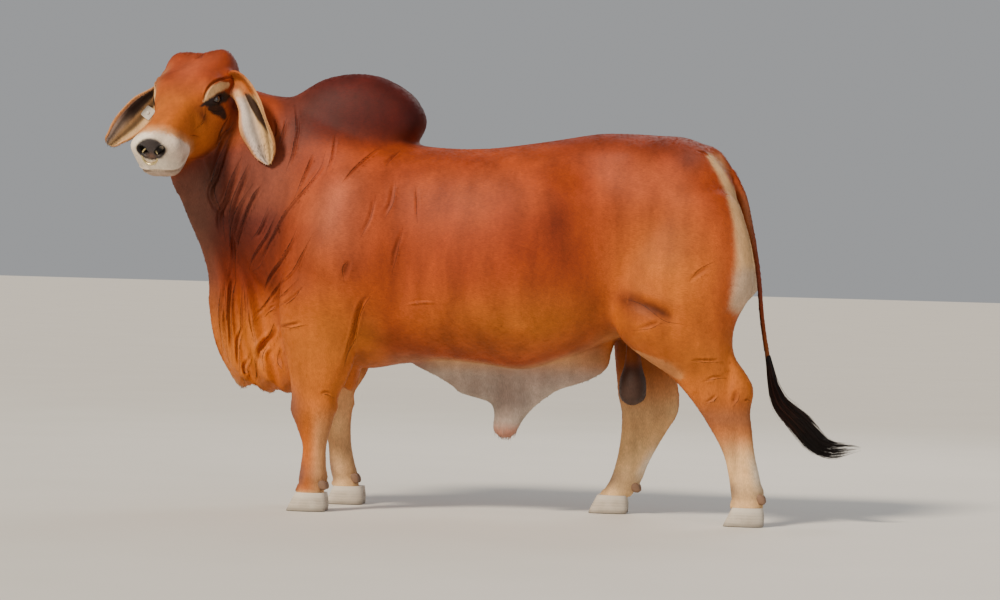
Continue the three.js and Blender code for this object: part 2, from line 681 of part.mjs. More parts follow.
// The flesh is modelled whole, hollowed for what is let into it, and then parted
const LEGS = Object.keys(legRows);
const eyelids = SIDES.map(([, side]) => lids(side));
let flesh = joined([
  trunk(), neck(), hump(), dewlap(), skull(),
  ...eyelids.map(({ mound }) => mound),
  ...LEGS.map((name) => leg(name)),
]);
flesh = flesh.simplify(SMOOTHING);
for (const { almond } of eyelids) flesh = flesh.subtract(almond);
for (const [, side] of SIDES) flesh = flesh.subtract(eyeBall(side, GAP)).subtract(nostril(side));
flesh = flesh.subtract(noseRing(RING_WIRE + GAP)).subtract(tail(GAP));

const solids = {};
function take(name, planes, gap = GAP) {
  solids[name] = flesh.intersect(region(planes));
  flesh = flesh.subtract(region(planes, gap));
}
const [mouthPlace, mouthLevel] = MOUTH;
const PAD = { depth: 22, bottom: -92, half: 66 };
take('nose_pad', [
  headPlane([HEAD_LENGTH - PAD.depth, 0, 0], [1, 0, 0]),
  headPlane([0, 0, PAD.bottom], [0, 0, 1]),
  headPlane([0, PAD.half, 0], [0, -1, 0]),
  headPlane([0, -PAD.half, 0], [0, 1, 0]),
]);
const CHIN_LEVEL = -222;
take('jaw', [
  headPlane([mouthPlace, 0, 0], [1, 0, 0]),
  headPlane([mouthPlace, 0, mouthLevel], [0.04, 0, -1]),
  headPlane([mouthPlace, 0, CHIN_LEVEL], [-0.25, 0, 1]),
], MOUTH_GAP);
take('head', [
  headPlane([-20, 0, 10], [0.787, 0, 0.617]),
  headPlane([215, 0, -312], [-0.4, 0, 0.92]),
  [[-935, 0, 0], [-1, 0, 0]],
  [[0, 0, 1170], [0, 0, 1]],
]);
const KNEE = 362;
const HOCK = { left: 462, right: 412 };
const FORE_INSIDE = 98;           // how far from the middle the legs part from the trunk
const HIND_INSIDE = 92;
const BEHIND_FORELEGS = -385;
const BEFORE_HIND_LEGS = 398;
const facingX = (x, way) => [[x, 0, 0], [way, 0, 0]];
for (const [word, side] of SIDES) {
  const fore = [[0, side * FORE_INSIDE, 0], [0, side, 0]];
  const hind = [[0, side * HIND_INSIDE, 0], [0, side, 0]];
  take(`foreleg_${word}_lower`, [fore, [[0, 0, KNEE], [0, 0, -1]], facingX(-200, -1)]);
  take(`foreleg_${word}_upper`, [fore, [[-600, 0, 830], [-0.1, 0, -1]], facingX(BEHIND_FORELEGS, -1)]);
  take(`hindleg_${word}_lower`, [hind, [[600, 0, HOCK[word]], [0, 0, -1]], facingX(200, 1)]);
  take(`hindleg_${word}_upper`, [hind, [[400, 0, 660], [0.643, 0, -0.766]], facingX(BEFORE_HIND_LEGS, 1)]);
}
take('hump', [[[-300, 0, 1362], [0.246, 0, 0.97]], facingX(-282, -1), facingX(-830, 1)]);
take('dewlap', [[[-965, 0, 990], [-0.758, 0, -0.652]]]);
take('neck', [[[-745, 0, 1200], [-0.986, 0, 0.164]]]);
take('chest', [facingX(-330, -1)]);
take('barrel', [facingX(380, -1)]);
solids.hindquarters = flesh;

// Pieces that lie on the flesh, cut back to it
solids.sheath = sheath().subtract(trunk(GAP));
solids.scrotum = scrotum().subtract(trunk(GAP));
for (const [word, side] of SIDES) {
  solids[`ear_${word}`] = ear(blades[word]).subtract(skull(GAP)).subtract(neck(GAP));
  solids[`eye_${word}`] = eyeBall(side);
}
solids.ear_tag = earTag();
solids.nose_ring = noseRing(RING_WIRE);
const wholeTail = tail();
const switchTop = [[0, 0, TAIL_END], [0, 0, -1]];
const tailJoint = [[937, 0, 1000], [0.2, 0, -1]];
solids.tail_upper = wholeTail.subtract(region([tailJoint], GAP));
solids.tail_lower = wholeTail.intersect(region([tailJoint])).subtract(region([switchTop], GAP));
solids.tail_switch = tailSwitch().simplify(SMOOTHING).intersect(region([switchTop]));
for (const [name, { toe, side, dewclaw: place }] of Object.entries(feet)) {
  for (const [word, out] of [['outer', 1], ['inner', -1]]) {
    const away = Math.sign(side) * out;
    solids[`hoof_${name}_${word}`] = claw(toe, side + away * (CLAW_WIDTH + CLAW_SPACE) / 2);
    solids[`dewclaw_${name}_${word}`] = dewclaw(place, side + away * 29).subtract(leg(name, GAP));
  }
}

// Colours of the animal's parts
const finish = (color, roughness = 0.8, metalness = 0) => ({ color, roughness, metalness });
const COAT = finish('#b5562a');
const FINISHES = [
  [/^hump|^neck/, finish('#8a3f20')],
  [/^dewlap|^chest/, finish('#a84c24')],
  [/lower$/, finish('#c08a5c')],
  [/^nose_pad/, finish('#6f6670', 0.45)],
  [/^jaw/, finish('#e6d6c0')],
  [/^ear_tag/, finish('#f2f0ea', 0.5)],
  [/^ear_/, finish('#c98a5a')],
  [/^eye_/, finish('#140c08', 0.1)],
  [/^nose_ring/, finish('#d9c08a', 0.3, 1)],
  [/^hoof|^dewclaw/, finish('#a39787', 0.55)],
  [/^sheath/, finish('#a9988c')],
  [/^scrotum/, finish('#8f7f80', 0.6)],
  [/^tail_switch/, finish('#15100e', 0.6)],
];
const finishOf = (name) => (FINISHES.find(([pattern]) => pattern.test(name)) ?? [null, COAT])[1];

// Each part keeps its largest closed surface
const largest = (body) => body.decompose().reduce((best, piece) => (piece.volume() > best.volume() ? piece : best));
function meshOf(name, body) {
  const { vertProperties, triVerts } = largest(body).getMesh();
  const geometry = new THREE.BufferGeometry();
  geometry.setAttribute('position', new THREE.BufferAttribute(vertProperties, 3));
  geometry.setIndex(new THREE.BufferAttribute(triVerts, 1));
  geometry.computeVertexNormals();
  const mesh = new THREE.Mesh(geometry, new THREE.MeshStandardMaterial(finishOf(name)));
  mesh.name = name;
  return mesh;
}

// The bull stands with the middle of its box over the origin and its soles on the floor
const bull = new THREE.Group();
for (const [name, body] of Object.entries(solids)) bull.add(meshOf(name, body));
const box = new THREE.Box3().setFromObject(bull);
const middle = box.getCenter(vec(0, 0, 0));
bull.position.set(-middle.x, -middle.y, -box.min.z);

export default bull;
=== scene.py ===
"""A red Brahman bull, life size: one folded skin with short coat, eyes, ears, hooves, ring, tag and tail.

Shapes are worked out in the bull's own frame, in millimetres: X from the head to the tail, the bull's left
side towards -Y, Z up from the floor. They are moved into the frame's place when they become meshes.
"""

import bpy
import numpy as np
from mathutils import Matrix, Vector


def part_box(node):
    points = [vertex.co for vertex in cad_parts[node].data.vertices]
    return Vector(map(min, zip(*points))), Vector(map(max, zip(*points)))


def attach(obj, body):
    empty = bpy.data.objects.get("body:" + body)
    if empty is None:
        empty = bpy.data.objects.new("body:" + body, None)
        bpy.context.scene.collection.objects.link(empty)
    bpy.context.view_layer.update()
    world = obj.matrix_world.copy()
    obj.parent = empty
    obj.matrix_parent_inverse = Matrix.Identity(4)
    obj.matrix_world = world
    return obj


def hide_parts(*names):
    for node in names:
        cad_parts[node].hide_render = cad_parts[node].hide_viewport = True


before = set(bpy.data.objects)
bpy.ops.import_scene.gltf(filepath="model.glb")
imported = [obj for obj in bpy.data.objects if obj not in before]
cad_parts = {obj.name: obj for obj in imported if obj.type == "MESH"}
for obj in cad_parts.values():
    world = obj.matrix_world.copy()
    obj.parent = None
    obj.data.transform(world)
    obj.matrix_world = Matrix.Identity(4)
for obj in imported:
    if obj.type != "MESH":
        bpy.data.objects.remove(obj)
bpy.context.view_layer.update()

import openvdb
from bpy.props import FloatProperty, FloatVectorProperty, IntProperty, PointerProperty
from mathutils import Matrix
from mathutils.bvhtree import BVHTree

bl_info = {
    "name": "Red Brahman Bull",
    "version": (1, 0, 0),
    "blender": (4, 5, 0),
    "location": "3D View > Sidebar > Bull",
    "description": "Builds the skin, coat, head, hooves and tail of a life-size Brahman bull",
    "category": "Add Mesh",
}

# Driving dimensions in millimetres and degrees, the same as those of the solids
HIP_HEIGHT = 1413.0
HUMP_HEIGHT = 1620.0
POLL = np.array([-1132.0, -60.0, 1671.0])
HEAD_YAW = 75.5
HEAD_PITCH = 38.0
HEAD_LENGTH = 540.0
HEAD_WIDTH = 286.0
EYE_RADIUS = 21.0
EAR_WIDTH = 140.0
EAR_THICKNESS = 8.0
BELLY_WIDTH = 770.0
FORE_TRACK = 400.0
HIND_TRACK = 410.0
CLAW_HEIGHT = 68.0
CLAW_WIDTH = 58.0
CLAW_LENGTH = 146.0
CLAW_SPACE = 5.0
RING_RADIUS = 31.0
RING_WIRE = 4.0
NOSE_SHIFT = 8.0
FORE_LEFT_TOE = -742.0
SIDES = (("left", -1), ("right", 1))
AXIS = np.eye(3)

# The outer claw of the left fore foot says where the bull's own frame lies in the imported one
CLAW_CORNER = np.array([FORE_LEFT_TOE, -FORE_TRACK / 2 - CLAW_WIDTH - CLAW_SPACE / 2, 0.0])
SHIFT = np.array(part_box("hoof_fore_left_outer")[0]) - CLAW_CORNER / 1000


def linear(text, alpha=1.0):
    """An sRGB hex colour as linear red, green, blue and alpha."""
    channels = [int(text[i : i + 2], 16) / 255 for i in (1, 3, 5)]
    return (*[c / 12.92 if c <= 0.04045 else ((c + 0.055) / 1.055) ** 2.4 for c in channels], alpha)


def rgb(text):
    return np.array(linear(text)[:3])


def colour_setting(name, description, text):
    return FloatVectorProperty(
        name=name, description=description, default=linear(text)[:3], size=3, subtype="COLOR", min=0, max=1
    )


def length_setting(name, description, default):
    return FloatProperty(
        name=name, description=description, default=default, subtype="DISTANCE", unit="LENGTH"
    )


class BullSizes(bpy.types.PropertyGroup):
    coat_depth: length_setting("Coat depth", "How far the skin lies inside the solids", 0.003)
    cell: length_setting(
        "Skin cell", "Size of the cells in which the parts of the skin are joined", 0.004
    )
    skin_triangles: IntProperty(
        name="Skin triangles", description="Most triangles that the skin keeps", default=190000,
    )
    hair_length: length_setting("Hair length", "Length of a tuft of the short coat on the body", 0.013)
    tufts: IntProperty(
        name="Tufts", description="How many tufts of short coat there are", default=96000,
    )
    strands: IntProperty(
        name="Strands", description="How many locks hang in the switch of the tail", default=1300,
    )
    fold_depth: FloatProperty(
        name="Fold depth", description="Depth of all folds of the skin, as a share of the usual", default=1.0,
        subtype="FACTOR", min=0, max=2,
    )


class BullColours(bpy.types.PropertyGroup):
    red: colour_setting("Red coat", "The main colour of the coat", "#9A3C0E")
    # Mahogany is also laid as painted shade: in hollows of the shoulder and flank, under the jaw, on the
    # cheek, on the inner side of the upper legs and deep in the ears.
    mahogany: colour_setting("Mahogany", "The hump and the top of the neck", "#4C1009")
    # Rose is mostly painted sheen, where the coat shines paler on the shoulder, rump, upper barrel and
    # forehead; it is also the real pink tip of the sheath.
    rose: colour_setting("Rose", "Where the coat shines paler", "#B2603F")
    orange: colour_setting("Orange", "Brisket, lower flank and upper legs", "#C66E1E")
    cream: colour_setting("Cream", "Buttocks, shins and the fold of the flank", "#E4BF88")
    white: colour_setting("White", "The muzzle", "#E9DFCB")
    slate: colour_setting("Slate", "The pad of the nose", "#2C2628")
    # Black is also painted shade: under the jaw, over the lids under the brow, in the nostrils, in the fold
    # from the eye's inner corner and on the side of the tail that faces the buttock.
    black: colour_setting("Black", "Lids and the switch of the tail", "#120C0A")
    taupe: colour_setting("Taupe", "Knees and fetlocks", "#7C5C4A")
    mauve: colour_setting("Mauve", "The scrotum", "#574A4B")
    ash: colour_setting("Ash", "The sheath", "#AFA398")
    horn: colour_setting("Horn", "The hooves", "#A99C8A")


# Reading tables and paths


def ramp(value, start, end):
    """Smooth step: 0 before start, 1 after end, and 3t^2 - 2t^3 between them."""
    t = np.clip((value - start) / (end - start), 0, 1)
    return t * t * (3 - 2 * t)


def fade(value, start, end):
    """The same the other way round: 1 before start and 0 after end."""
    return 1 - ramp(value, start, end)


def mix(a, b, share):
    return a + (b - a) * share


def peak(value, at, width):
    """A bell over a number: 1 at its place, and a third of that one width away."""
    return np.exp(-(((value - at) / width) ** 2))


def laid_out(origin, *steps):
    """The place that is reached from an origin by steps, each a length along an axis of its own."""
    for length, axis in steps:
        origin = origin + length[..., None] * axis
    return origin


def unit(vectors):
    return vectors / (np.linalg.norm(vectors, axis=-1, keepdims=True) + 1e-12)


def eased(table):
    """Reads a table along its first column: a cubic through the rows whose slope at a row is the mean of
    the slopes on its two sides."""
    rows = np.array(table, float)
    places, values = rows[:, 0], rows[:, 1:]
    secants = np.diff(values, axis=0) / np.diff(places)[:, None]
    slopes = np.concatenate([secants[:1], (secants[1:] + secants[:-1]) / 2, secants[-1:]])

    def sizes(place):
        place = np.clip(place, places[0], places[-1])
        i = np.clip(np.searchsorted(places, place, side="right") - 1, 0, len(places) - 2)
        width = (places[i + 1] - places[i])[..., None]
        t = (place - places[i])[..., None] / width
        value = (
            values[i] * (2 * t**3 - 3 * t**2 + 1)
            + values[i + 1] * (3 * t**2 - 2 * t**3)
            + slopes[i] * width * (t**3 - 2 * t**2 + t)
            + slopes[i + 1] * width * (t**3 - t**2)
        )
        return np.moveaxis(value, -1, 0)

    return sizes


def curve_through(points):
    """A smooth path through points: a cubic between neighbours whose slopes allow for the root of the
    distance between points, so that it doesn't loop where they are close."""
    points = np.array(points, float)
    ends = (2 * points[:1] - points[1:2], 2 * points[-1:] - points[-2:-1])
    guide = np.concatenate([ends[0], points, ends[1]])
    steps = np.linalg.norm(np.diff(guide, axis=0), axis=1) ** 0.5

    def at(t):
        place = np.clip(np.asarray(t, float), 0, 1) * (len(points) - 1)
        i = np.minimum(place.astype(int), len(points) - 2)
        w = (place - i)[..., None]
        p0, p1, p2, p3 = (guide[i + k] for k in range(4))
        d0, d1, d2 = (steps[i + k][..., None] for k in range(3))
        start = ((p1 - p0) / d0 - (p2 - p0) / (d0 + d1) + (p2 - p1) / d1) * d1
        end = ((p2 - p1) / d1 - (p3 - p1) / (d1 + d2) + (p3 - p2) / d2) * d1
        bend = -3 * p1 + 3 * p2 - 2 * start - end
        return p1 + start * w + bend * w**2 + (2 * p1 - 2 * p2 + start + end) * w**3

    def tangent(t):
        return unit(at(np.asarray(t) + 1e-3) - at(np.asarray(t) - 1e-3))

    return at, tangent


# Closed bodies


def tube_faces(rings, columns):
    """Triangles of a tube of rings with a point at each end, point 0 and the last one."""
    i, j = np.meshgrid(np.arange(rings - 1), np.arange(columns), indexing="ij")
    a = 1 + i * columns + j
    b = 1 + i * columns + (j + 1) % columns
    wall = np.stack([a, b, b + columns, a, b + columns, a + columns], -1).reshape(-1, 3)
    j = np.arange(columns)
    last = 1 + (rings - 1) * columns
    start = np.stack([np.zeros_like(j), 1 + (j + 1) % columns, 1 + j], -1)
    end = np.stack([np.full_like(j, last + columns), last + j, last + (j + 1) % columns], -1)
    return np.concatenate([start, wall, end])


def outward(points, faces):
    """Turns a closed body's faces so that they point out: its signed volume is then above zero."""
    a, b, c = (points[faces[:, k]] for k in range(3))
    return faces if np.einsum("ij,ij->", a, np.cross(b, c)) > 0 else faces[:, ::-1]


def loft(point, start, end, rings, columns, start_cap=0.0, end_cap=0.0, cap_rings=9):
    """A closed body. point(place, angle, open) gives the ring at a place, and open narrows it to nothing
    over a rounded end as the sine of a quarter turn."""
    turn = np.linspace(0, np.pi / 2, cap_rings + 2)[1:-1]
    places = [np.linspace(start + start_cap, end - end_cap, rings)]
    opens = [np.ones(rings)]
    if start_cap:
        places.insert(0, start + start_cap * (1 - np.cos(turn)))
        opens.insert(0, np.sin(turn))
    if end_cap:
        places.append(end - end_cap * (1 - np.cos(turn[::-1])))
        opens.append(np.sin(turn[::-1]))
    places = np.concatenate(places)[:, None]
    opens = np.concatenate(opens)[:, None]
    angles = np.arange(columns)[None] * 2 * np.pi / columns
    grid = point(*np.broadcast_arrays(places, angles, opens))
    ends = [[np.array([[v]], float) for v in (place, 0, 0)] for place in (start, end)]
    poles = [point(*at).reshape(1, 3) for at in ends]
    points = np.concatenate([poles[0], grid.reshape(-1, 3), poles[1]])
    faces = tube_faces(len(places), columns)
    return points, outward(points, faces)


def section(origin, along, first, second, table, grow=0.0):
    """The rounded section of a trunk or limb, carried along an axis. A row holds the place, then the low
    edge, widest level and high edge along `first`, the middle and half width along `second`, and how
    square the section is: 2 is an ellipse."""
    sizes = eased(table)

    def point(place, angle, open_):
        low, widest, high, side, half, square = sizes(place)

        def rounded(value):
            return np.sign(value) * np.abs(value) ** (2 / square) * open_

        up = rounded(np.sin(angle))
        out = rounded(np.cos(angle))
        reach = np.where(up > 0, high - widest, widest - low) + grow
        across = side + out * (half + grow)
        return laid_out(origin, (place, along), (widest + up * reach, first), (across, second))

    return point


def swell(points, swellings):
    """Soft swellings and hollows: each moves the points near a place by a push that fades as a bell."""
    moved = points.copy()
    for at, reach, push in swellings:
        away = (points - np.array(at, float)) / np.array(reach, float)
        moved += np.exp(-(away**2).sum(-1))[..., None] * np.array(push, float)
    return moved


def both_sides(at, reach, push):
    x, y, z = at
    dx, dy, dz = push
    return [(at, reach, push), ((x, -y, z), reach, (dx, -dy, dz))]


ORIGIN = np.zeros(3)
LENGTHWISE = (ORIGIN, AXIS[0], AXIS[2], AXIS[1])
UPRIGHT = (ORIGIN, AXIS[2], AXIS[0], AXIS[1])

TRUNK = [
    # place, lowest, widest level, highest, middle, half width, square
    [-800, 690, 960, 1230, 0, 222, 2.1],
    [-700, 590, 950, 1330, 0, 284, 2.2],
    [-600, 535, 935, 1365, 0, 318, 2.3],
    [-480, 520, 915, 1375, 0, 338, 2.3],
    [-356, 540, 890, 1360, 0, 340, 2.3],
    [-204, 556, 870, 1347, 0, 362, 2.3],
    [-50, 548, 860, 1350, 0, BELLY_WIDTH / 2, 2.3],
    [100, 534, 870, 1370, 0, BELLY_WIDTH / 2 + 2, 2.3],
    [240, 572, 895, 1393, 0, 362, 2.3],
    [351, 616, 940, HIP_HEIGHT, 0, 318, 2.3],
    [450, 655, 985, HIP_HEIGHT + 3, 0, 292, 2.4],
    [577, 690, 1010, HIP_HEIGHT - 2, 0, 288, 2.4],
    [690, 710, 1010, HIP_HEIGHT - 10, 0, 275, 2.4],
    [784, 740, 1000, 1346, 0, 240, 2.3],
    [850, 790, 990, 1238, 0, 196, 2.2],
    [905, 850, 970, 1120, 0, 150, 2.1],
]
TRUNK_SWELLINGS = [
    *both_sides((-560, 300, 1080), (130, 200, 230), (0, 34, 0)),  # shoulder blade
    *both_sides((-640, 290, 930), (110, 160, 130), (0, 30, 0)),  # point of the shoulder
    *both_sides((-470, 310, 870), (90, 150, 120), (0, 26, 0)),  # elbow
    *both_sides((-330, 340, 860), (50, 150, 130), (0, -16, 0)),  # hollow behind the elbow
    *both_sides((330, 300, 1270), (110, 120, 70), (0, -34, -8)),  # hollow of the flank
    *both_sides((478, 250, 1350), (70, 110, 60), (0, 26, 14)),  # hook bone
    *both_sides((640, 270, 1270), (110, 120, 80), (0, -16, 0)),  # dip of the rump
    *both_sides((770, 220, 1180), (90, 120, 90), (0, 20, 0)),  # thurl
    *both_sides((850, 110, 1250), (60, 60, 60), (26, 8, 10)),  # pin bone
    ((890, 0, 1080), (60, 45, 160), (-36, 0, 0)),  # groove under the tail
]
NECK = [
    [-1150, 1200, 1430, 1596, -22, 94, 2.1],
    [-1100, 1100, 1370, 1598, -18, 118, 2.1],
    [-1030, 970, 1280, 1580, -12, 134, 2.1],
    [-960, 870, 1200, 1552, -8, 150, 2.1],
    [-880, 780, 1140, 1534, -4, 172, 2.1],
    [-780, 710, 1090, 1518, 0, 206, 2.1],
    [-680, 690, 1070, 1490, 0, 242, 2.2],
    [-560, 720, 1070, 1440, 0, 268, 2.2],
    [-440, 780, 1070, 1392, 0, 262, 2.2],
]
HUMP = [
    [-840, 1370, 1410, 1505, 0, 52, 2],
    [-760, 1300, 1375, 1549, 0, 102, 2],
    [-696, 1265, 1355, 1590, 0, 130, 2],
    [-621, 1250, 1350, HUMP_HEIGHT - 7, 0, 146, 2],
    [-546, 1250, 1350, HUMP_HEIGHT, 0, 150, 2],
    [-471, 1260, 1360, HUMP_HEIGHT - 8, 0, 145, 2],
    [-395, 1310, 1410, HUMP_HEIGHT - 40, 0, 126, 2],
    [-345, 1345, 1442, HUMP_HEIGHT - 74, 0, 104, 2.1],
    [-289, 1365, 1440, HUMP_HEIGHT - 120, 0, 80, 2.1],
]
DEWLAP = [
    # level, front x, front y, root x, root y, half thickness
    [428, -930, 0, -560, 0, 52],
    [450, -972, 0, -540, 0, 62],
    [500, -1020, 0, -520, 0, 66],
    [560, -1055, -4, -520, 0, 60],
    [640, -1082, -10, -560, 0, 52],
    [740, -1096, -22, -620, 0, 44],
    [850, -1095, -46, -700, 0, 38],
    [950, -1116, -86, -790, 0, 34],
    [1046, -1149, -142, -860, -10, 32],
    [1126, -1175, -190, -930, -20, 30],
    [1198, -1200, -235, -1000, -30, 30],
    [1250, -1206, -262, -1040, -36, 28],
    [1330, -1200, -250, -1060, -40, 24],
]
PLEATS = 5
PLEAT_DEPTH = 26.0
ROOT_THICKNESS = 2.4
SCALLOP = 18.0


def dewlap_point(level, angle, open_):
    """The dewlap: a leaf from its root on the chest to its front edge, with pleats that swing from side to
    side as a sine across it and grow towards the edge and the bottom."""
    front_x, front_y, root_x, root_y, half = eased(DEWLAP)(level)
    half = half - coat_depth()
    across = mix(0.5, (1 + np.cos(angle)) / 2, open_)
    pleat = across * PLEATS * 2 * np.pi
    loose = ramp(1100 - level, 0, 450)
    wave = PLEAT_DEPTH * loose * across * np.sin(pleat + level / 260)
    rounded = np.sign(np.sin(angle)) * np.abs(np.sin(angle)) ** 0.8 * open_
    hang = SCALLOP * np.cos(pleat) * fade(level, 430, 520) * open_
    y = mix(root_y, front_y, across**1.4) + wave + half * mix(ROOT_THICKNESS, 1, across) * rounded
    return np.stack([mix(root_x, front_x, across), y, level - hang], -1)


# The head's own frame: from the crown to the nose, to the bull's left, and upwards out of the face
YAW, PITCH = np.radians(HEAD_YAW), np.radians(HEAD_PITCH)
FACING = np.array([-np.cos(YAW), -np.sin(YAW), 0])
NOSEWARD = FACING * np.cos(PITCH) - AXIS[2] * np.sin(PITCH)
FACE_UP = FACING * np.sin(PITCH) + AXIS[2] * np.cos(PITCH)
LEFTWARD = np.array([np.sin(YAW), -np.cos(YAW), 0])
HEAD_TURN = np.stack([NOSEWARD, LEFTWARD, FACE_UP])


def to_head(points):
    return (points - POLL) @ HEAD_TURN.T


def from_head(local):
    return np.asarray(local, float) @ HEAD_TURN + POLL


BROW = HEAD_WIDTH / 2
EYE = np.array([198, BROW - 31, -62])
HEAD = [
    # place, lowest, widest level, highest, middle, half width, square
    [-60, -170, -90, -40, -8, BROW - 36, 2.2],
    [0, -225, -90, -8, -8, BROW - 6, 2.6],
    [60, -262, -88, 6, -5, BROW, 2.6],
    [130, -284, -80, 18, 0, BROW, 2.5],
    [205, -292, -78, 14, 0, BROW - 8, 2.6],
    [270, -280, -95, 8, 0, BROW - 30, 2.5],
    [335, -240, -105, 2, 0, BROW - 52, 2.4],
    [395, -206, -96, 0, 0, BROW - 62, 2.3],
    [445, -192, -86, 0, 0, BROW - 54, 2.4],
    [490, -190, -80, -3, 0, BROW - 46, 2.5],
    [525, -182, -78, -13, 0, BROW - 52, 2.5],
    [HEAD_LENGTH, -170, -78, -24, 0, BROW - 61, 2.4],
]
HEAD_SWELLINGS = [
    # in the head's frame: place, reach, push, and whether both sides have it
    ((-4, 86, -4), 60, (-10, 14, 17), True),  # domes of the crown
    ((-4, 66, -2), 78, (-7, 0, 14), False),  # the left one is the higher
    ((30, -128, -40), 60, (0, -8, 4), False),  # temple of the right side
    ((170, 118, -6), 48, (0, 10, 14), True),  # brow over each eye
    ((200, 140, -66), 38, (0, -14, 0), True),  # socket
    ((190, 120, -190), 80, (0, 14, 0), True),  # cheek muscle
    ((300, 96, -60), 48, (0, -10, 0), True),  # hollow under the eye
    ((340, 0, 4), 90, (0, 0, 7), False),  # arched bridge of the nose
    ((500, 74, -52), 34, (4, 8, 4), True),  # flare of each nostril
    ((440, 80, -118), 36, (0, 8, 0), True),  # upper lip
    ((505, 40, -150), 36, (6, 4, -6), True),  # chin
]


def skull_point(grow):
    whole = section(POLL, NOSEWARD, FACE_UP, LEFTWARD, HEAD, grow)

    def point(place, angle, open_):
        local = to_head(whole(place, angle, open_))
        swellings = []
        for at, reach, push, both in HEAD_SWELLINGS:
            swellings += both_sides(at, reach, push) if both else [(at, reach, push)]
        return from_head(swell(local, swellings))

    return point


def head_ball(at, halves, columns=40, rings=20):
    """A ball stretched to three half-lengths in the head's frame."""

    def point(place, angle, open_):
        width = np.sqrt(np.clip(1 - place**2, 0, 1))
        ball = np.stack([width * np.cos(angle), width * np.sin(angle), place], -1)
        return from_head(np.array(at) + ball * halves)

    return loft(point, -1, 1, rings, columns, start_cap=0.02, end_cap=0.02, cap_rings=1)


FORE_OUT = FORE_TRACK / 2
HIND_OUT = HIND_TRACK / 2
FORE_TOP = [
    [490, -746, -526, 4, 66],
    [560, -760, -503, 8, 78],
    [661, -784, -490, 14, 96],
    [760, -792, -455, 20, 112],
    [860, -780, -420, 16, 116],
    [1000, -730, -430, -4, 100],
    [1100, -690, -460, -40, 80],
]
HIND_TOP = [
    [850, 440, 950, 12, 116],
    [950, 462, 948, 6, 112],
    [1080, 500, 922, -8, 100],
    [1230, 560, 858, -30, 84],
]
FORE_LOW = [
    # level, half width, then the front and rear edge of the left leg and of the right one
    [68, 54, -716, -604, -648, -540],
    [92, 46, -706, -604, -646, -545],
    [122, 51, -704, -598, -654, -550],
    [160, 43, -699, -599, -660, -561],
    [239, 38, -694, -600, -670, -575],
    [300, 48, -714, -586, -700, -577],
    [359, 60, -734, -571, -728, -573],
    [420, 59, -738, -560, -736, -566],
]
LEGS = {
    # level, front edge, rear edge, middle outside the foot's, half width
    "fore_left": [*([z, a, b, 0, half] for z, half, a, b, _, _ in FORE_LOW), *FORE_TOP],
    "fore_right": [*([z, a, b, 0, half] for z, half, _, _, a, b in FORE_LOW), *FORE_TOP],
    "hind_left": [
        [68, 880, 1005, 0, 54],
        [92, 884, 1004, 0, 46],
        [125, 880, 1000, 0, 51],
        [186, 870, 987, 0, 42],
        [261, 849, 969, 0, 39],
        [348, 801, 957, 0, 46],
        [410, 760, 949, 0, 56],
        [478, 706, 956, 0, 62],
        [540, 642, 936, 0, 68],
        [606, 540, 892, 6, 88],
        [660, 470, 880, 10, 104],
        [740, 436, 894, 14, 112],
        *HIND_TOP,
    ],
    "hind_right": [
        [68, 370, 494, 0, 54],
        [92, 387, 508, 0, 46],
        [125, 406, 528, 0, 51],
        [186, 425, 552, 0, 42],
        [261, 438, 590, 0, 40],
        [317, 443, 622, 0, 46],
        [380, 442, 658, 0, 56],
        [440, 428, 662, 0, 62],
        [510, 420, 655, 0, 68],
        [590, 410, 690, 6, 88],
        [660, 402, 750, 10, 104],
        [740, 410, 830, 14, 112],
        *HIND_TOP,
    ],
}
FEET = {
    # toe, heel side of the dewclaws and their level
    "fore_left": (-742, -598, 100),
    "fore_right": (-668, -544, 100),
    "hind_left": (858, 1006, 102),
    "hind_right": (330, 520, 102),
}
CORONET = 61.0  # level of the hair's edge over the hoof


def side_of(name):
    return -1 if name.endswith("left") else 1


def middle_of(name):
    """How far out the foot stands."""
    return FORE_OUT if name.startswith("fore") else HIND_OUT


def leg(name, grow):
    rows = [
        [level, front, (front + rear) / 2, rear, side_of(name) * (middle_of(name) + side), half, 2.2]
        for level, front, rear, side, half in LEGS[name]
    ]
    first = rows[0]
    rows.insert(0, [CORONET, first[1] - 3, first[2], first[3] + 2, first[4], first[5] + 3, 2.4])
    return loft(
        section(*UPRIGHT, rows, grow), CORONET, rows[-1][0], 240, 72, start_cap=5, end_cap=60, cap_rings=4
    )


SHEATH = [
    [279, 2, 32, 66, 0, 36, 2.2],
    [313, -16, 32, 82, 0, 36, 2.2],
    [343, -15, 40, 98, 0, 33, 2.2],
    [377, -16, 50, 124, 0, 30, 2.1],
    [412, -42, 60, 160, 0, 29, 2],
    [439, -142, 40, 196, 0, 29, 1.9],
    [462, -172, 50, 233, 0, 30, 1.9],
    [500, -236, 50, 340, 0, 34, 1.9],
    [540, -320, 50, 402, 0, 44, 1.9],
    [600, -360, 50, 424, 0, 66, 1.9],
    [650, -350, 50, 440, 0, 78, 1.9],
    [700, -340, 50, 446, 0, 84, 1.9],
]
SCROTUM = [
    [414, 460, 500, 540, 0, 52, 2],
    [450, 450, 502, 553, 0, 62, 2],
    [505, 449, 502, 552, 0, 62, 2],
    [560, 464, 502, 536, 0, 48, 2],
    [630, 468, 500, 530, 0, 38, 2],
    [700, 460, 500, 545, 0, 42, 2],
    [790, 450, 500, 560, 0, 46, 2],
]

